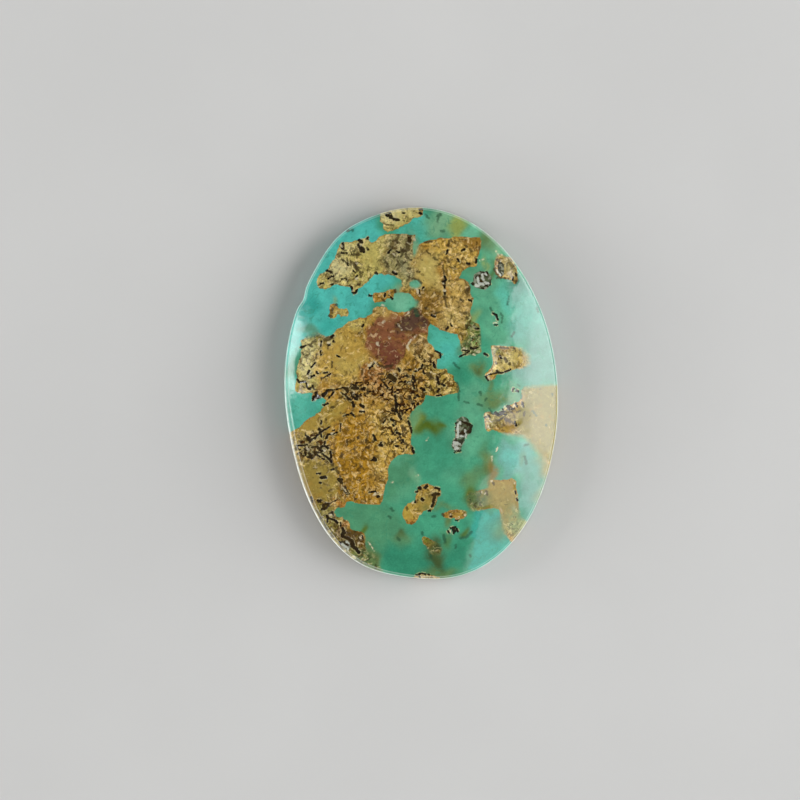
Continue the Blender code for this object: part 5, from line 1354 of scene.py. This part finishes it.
def stone_material():
    material = bpy.data.materials.new("natural_turquoise")
    w = Weaver(material)
    back, pit, fade = w.attribute("back"), w.attribute("pit"), w.attribute("fade")
    matte = w.more(back, w.times(w.attribute("wall"), WALL_MATTE))

    # The border between rock and turquoise is sharp, or fades slowly.
    reach = w.plus(w.attribute("rock"), w.fray("border"))
    soft = w.math("MULTIPLY_ADD", fade, FADING_BORDER, SHARP_BORDER)
    rock = w.step(reach, w.times(soft, -1.0), soft)

    stone, speckle, fine_curls = host_rock(w, reach, fade)
    strokes = placed_strokes(w)
    colour = with_marks(w, w.mix(rock, turquoise(w), stone), strokes)
    w.put(with_wear(w, colour, pit, back), w.shader.inputs["Base Color"])

    # The face is polished, dark marks and pits a little more so. The wall and the back are left ground.
    dark = w.more(strokes["black"], w.times(speckle, rock))
    rough = w.math("MULTIPLY_ADD", w.more(dark, pit), DARK_ROUGHNESS, w.pattern("polish"))
    rough = w.math("MULTIPLY_ADD", matte, MATTE_ROUGHNESS, rough)
    w.put(rough, w.shader.inputs["Roughness"])
    w.shader.inputs["IOR"].default_value = REFRACTION

    sunk = w.times(w.more(dark, w.times(fine_curls, rock)), -1.0)
    grain = w.times(w.noise(6.0, 3.0), w.times(rock, GRAIN_RELIEF))
    normal = w.bump(w.plus(sunk, grain), RELIEF_DEPTH)
    normal = w.bump(w.noise(0.8, 2.0), SWIRL_DEPTH, SWIRL_STRENGTH, normal)
    normal = w.bump(w.times(w.noise(22.0, 2.0), matte), GRIT_DEPTH, 1.0, normal)
    w.put(normal, w.shader.inputs["Normal"])
    return material


# Floor, light and camera


FLOOR_HALF_SIZE = 0.6
FLOOR_COLOUR = (0.62, 0.62, 0.61)
FLOOR_ROUGHNESS = 0.85


def make_floor():
    material = bpy.data.materials.new("pale_floor")
    w = Weaver(material)
    w.put(w.brighten(FLOOR_COLOUR, w.pattern("floor")), w.shader.inputs["Base Color"])
    w.shader.inputs["Roughness"].default_value = FLOOR_ROUGHNESS
    mesh = bpy.data.meshes.new("floor")
    half = FLOOR_HALF_SIZE
    corners = [(-half, -half, 0), (half, -half, 0), (half, half, 0), (-half, half, 0)]
    mesh.from_pydata(corners, [], [(0, 1, 2, 3)])
    mesh.materials.append(material)
    floor = bpy.data.objects.new("floor", mesh)
    bpy.context.scene.collection.objects.link(floor)


def make_window(name, azimuth, distance, low, high, side, width, radiance, tint):
    """A tall soft light that stands upright and faces the stone, shifted sideways along its own plane."""
    direction = math.radians(azimuth)
    light = bpy.data.lights.new(name, "AREA")
    light.shape = "RECTANGLE"
    light.size = width
    light.size_y = high - low
    light.energy = radiance * math.pi * width * (high - low)
    light.color = tint
    lamp = bpy.data.objects.new(name, light)
    out_x, out_y = math.cos(direction), math.sin(direction)
    lamp.location = (distance * out_x - side * out_y, distance * out_y + side * out_x, (low + high) / 2)
    lamp.rotation_euler = (math.radians(90), 0, direction + math.radians(90))
    lamp.visible_camera = False
    bpy.context.scene.collection.objects.link(lamp)


# Upright panels of light: azimuth, distance, low and high edge, sideways shift, width, radiance, tint
DAYLIGHT = (1.0, 1.0, 1.0)
WINDOWS_OF_LIGHT = {
    "right window": (-24.8, 0.70, 0.02, 1.00, 0.12, 1.90, 1.6, DAYLIGHT),
    "right window, head side": (-24.8, 0.71, 0.02, 0.96, 0.60, 0.97, 2.2, DAYLIGHT),
    "right window, low": (-24.8, 0.72, 0.02, 0.70, 0.50, 1.17, 2.2, DAYLIGHT),
    "left window": (168.0, 1.20, 0.02, 0.84, 0.03, 0.47, 7.6, DAYLIGHT),
    "left window, foot": (215.0, 1.20, 0.06, 0.50, 0.0, 1.5, 4.6, DAYLIGHT),
}
HORIZON_LIGHT = 1.3
ZENITH_LIGHT = 0.05
HORIZON_FADE = 0.45  # height of a direction, as the sine of its angle, above which only the zenith's is left


def make_light():
    """The windows, and a room that is brighter near the horizon than overhead."""
    for name, panel in WINDOWS_OF_LIGHT.items():
        make_window(name, *panel)
    world = bpy.data.worlds.new("soft_room")
    world.use_nodes = True
    nodes, links = world.node_tree.nodes, world.node_tree.links
    where = nodes.new("ShaderNodeTexCoord")
    parts = nodes.new("ShaderNodeSeparateXYZ")
    grade = nodes.new("ShaderNodeMapRange")
    grade.interpolation_type = "SMOOTHSTEP"
    grade.inputs["From Min"].default_value = 0.0
    grade.inputs["From Max"].default_value = HORIZON_FADE
    grade.inputs["To Min"].default_value = HORIZON_LIGHT
    grade.inputs["To Max"].default_value = ZENITH_LIGHT
    links.new(where.outputs["Generated"], parts.inputs["Vector"])
    links.new(parts.outputs["Z"], grade.inputs["Value"])
    links.new(grade.outputs["Result"], nodes["Background"].inputs["Strength"])
    nodes["Background"].inputs["Color"].default_value = (1.0, 1.0, 1.0, 1)
    bpy.context.scene.world = world


VIEW_WIDTH = 0.064
CAMERA_HEIGHT = 0.30
VIEW_MIDDLE = (-1.70 * MM, -0.35 * MM)
STONE_TILT = 3.0


def make_camera():
    """A camera straight above, turned as the stone lies in its picture."""
    camera = bpy.data.cameras.new("camera")
    camera.sensor_width = 36
    camera.lens = camera.sensor_width * (CAMERA_HEIGHT - DOME_EDGE_HEIGHT * MM) / VIEW_WIDTH
    holder = bpy.data.objects.new("camera", camera)
    holder.location = (*VIEW_MIDDLE, CAMERA_HEIGHT)
    holder.rotation_euler = (0, 0, math.radians(-STONE_TILT))
    bpy.context.scene.collection.objects.link(holder)
    bpy.context.scene.camera = holder


cabochon = make_stone()
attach(cabochon, "root")
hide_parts("turquoise_cabochon")
make_floor()
make_light()
make_camera()
bpy.context.scene.view_settings.view_transform = "Standard"
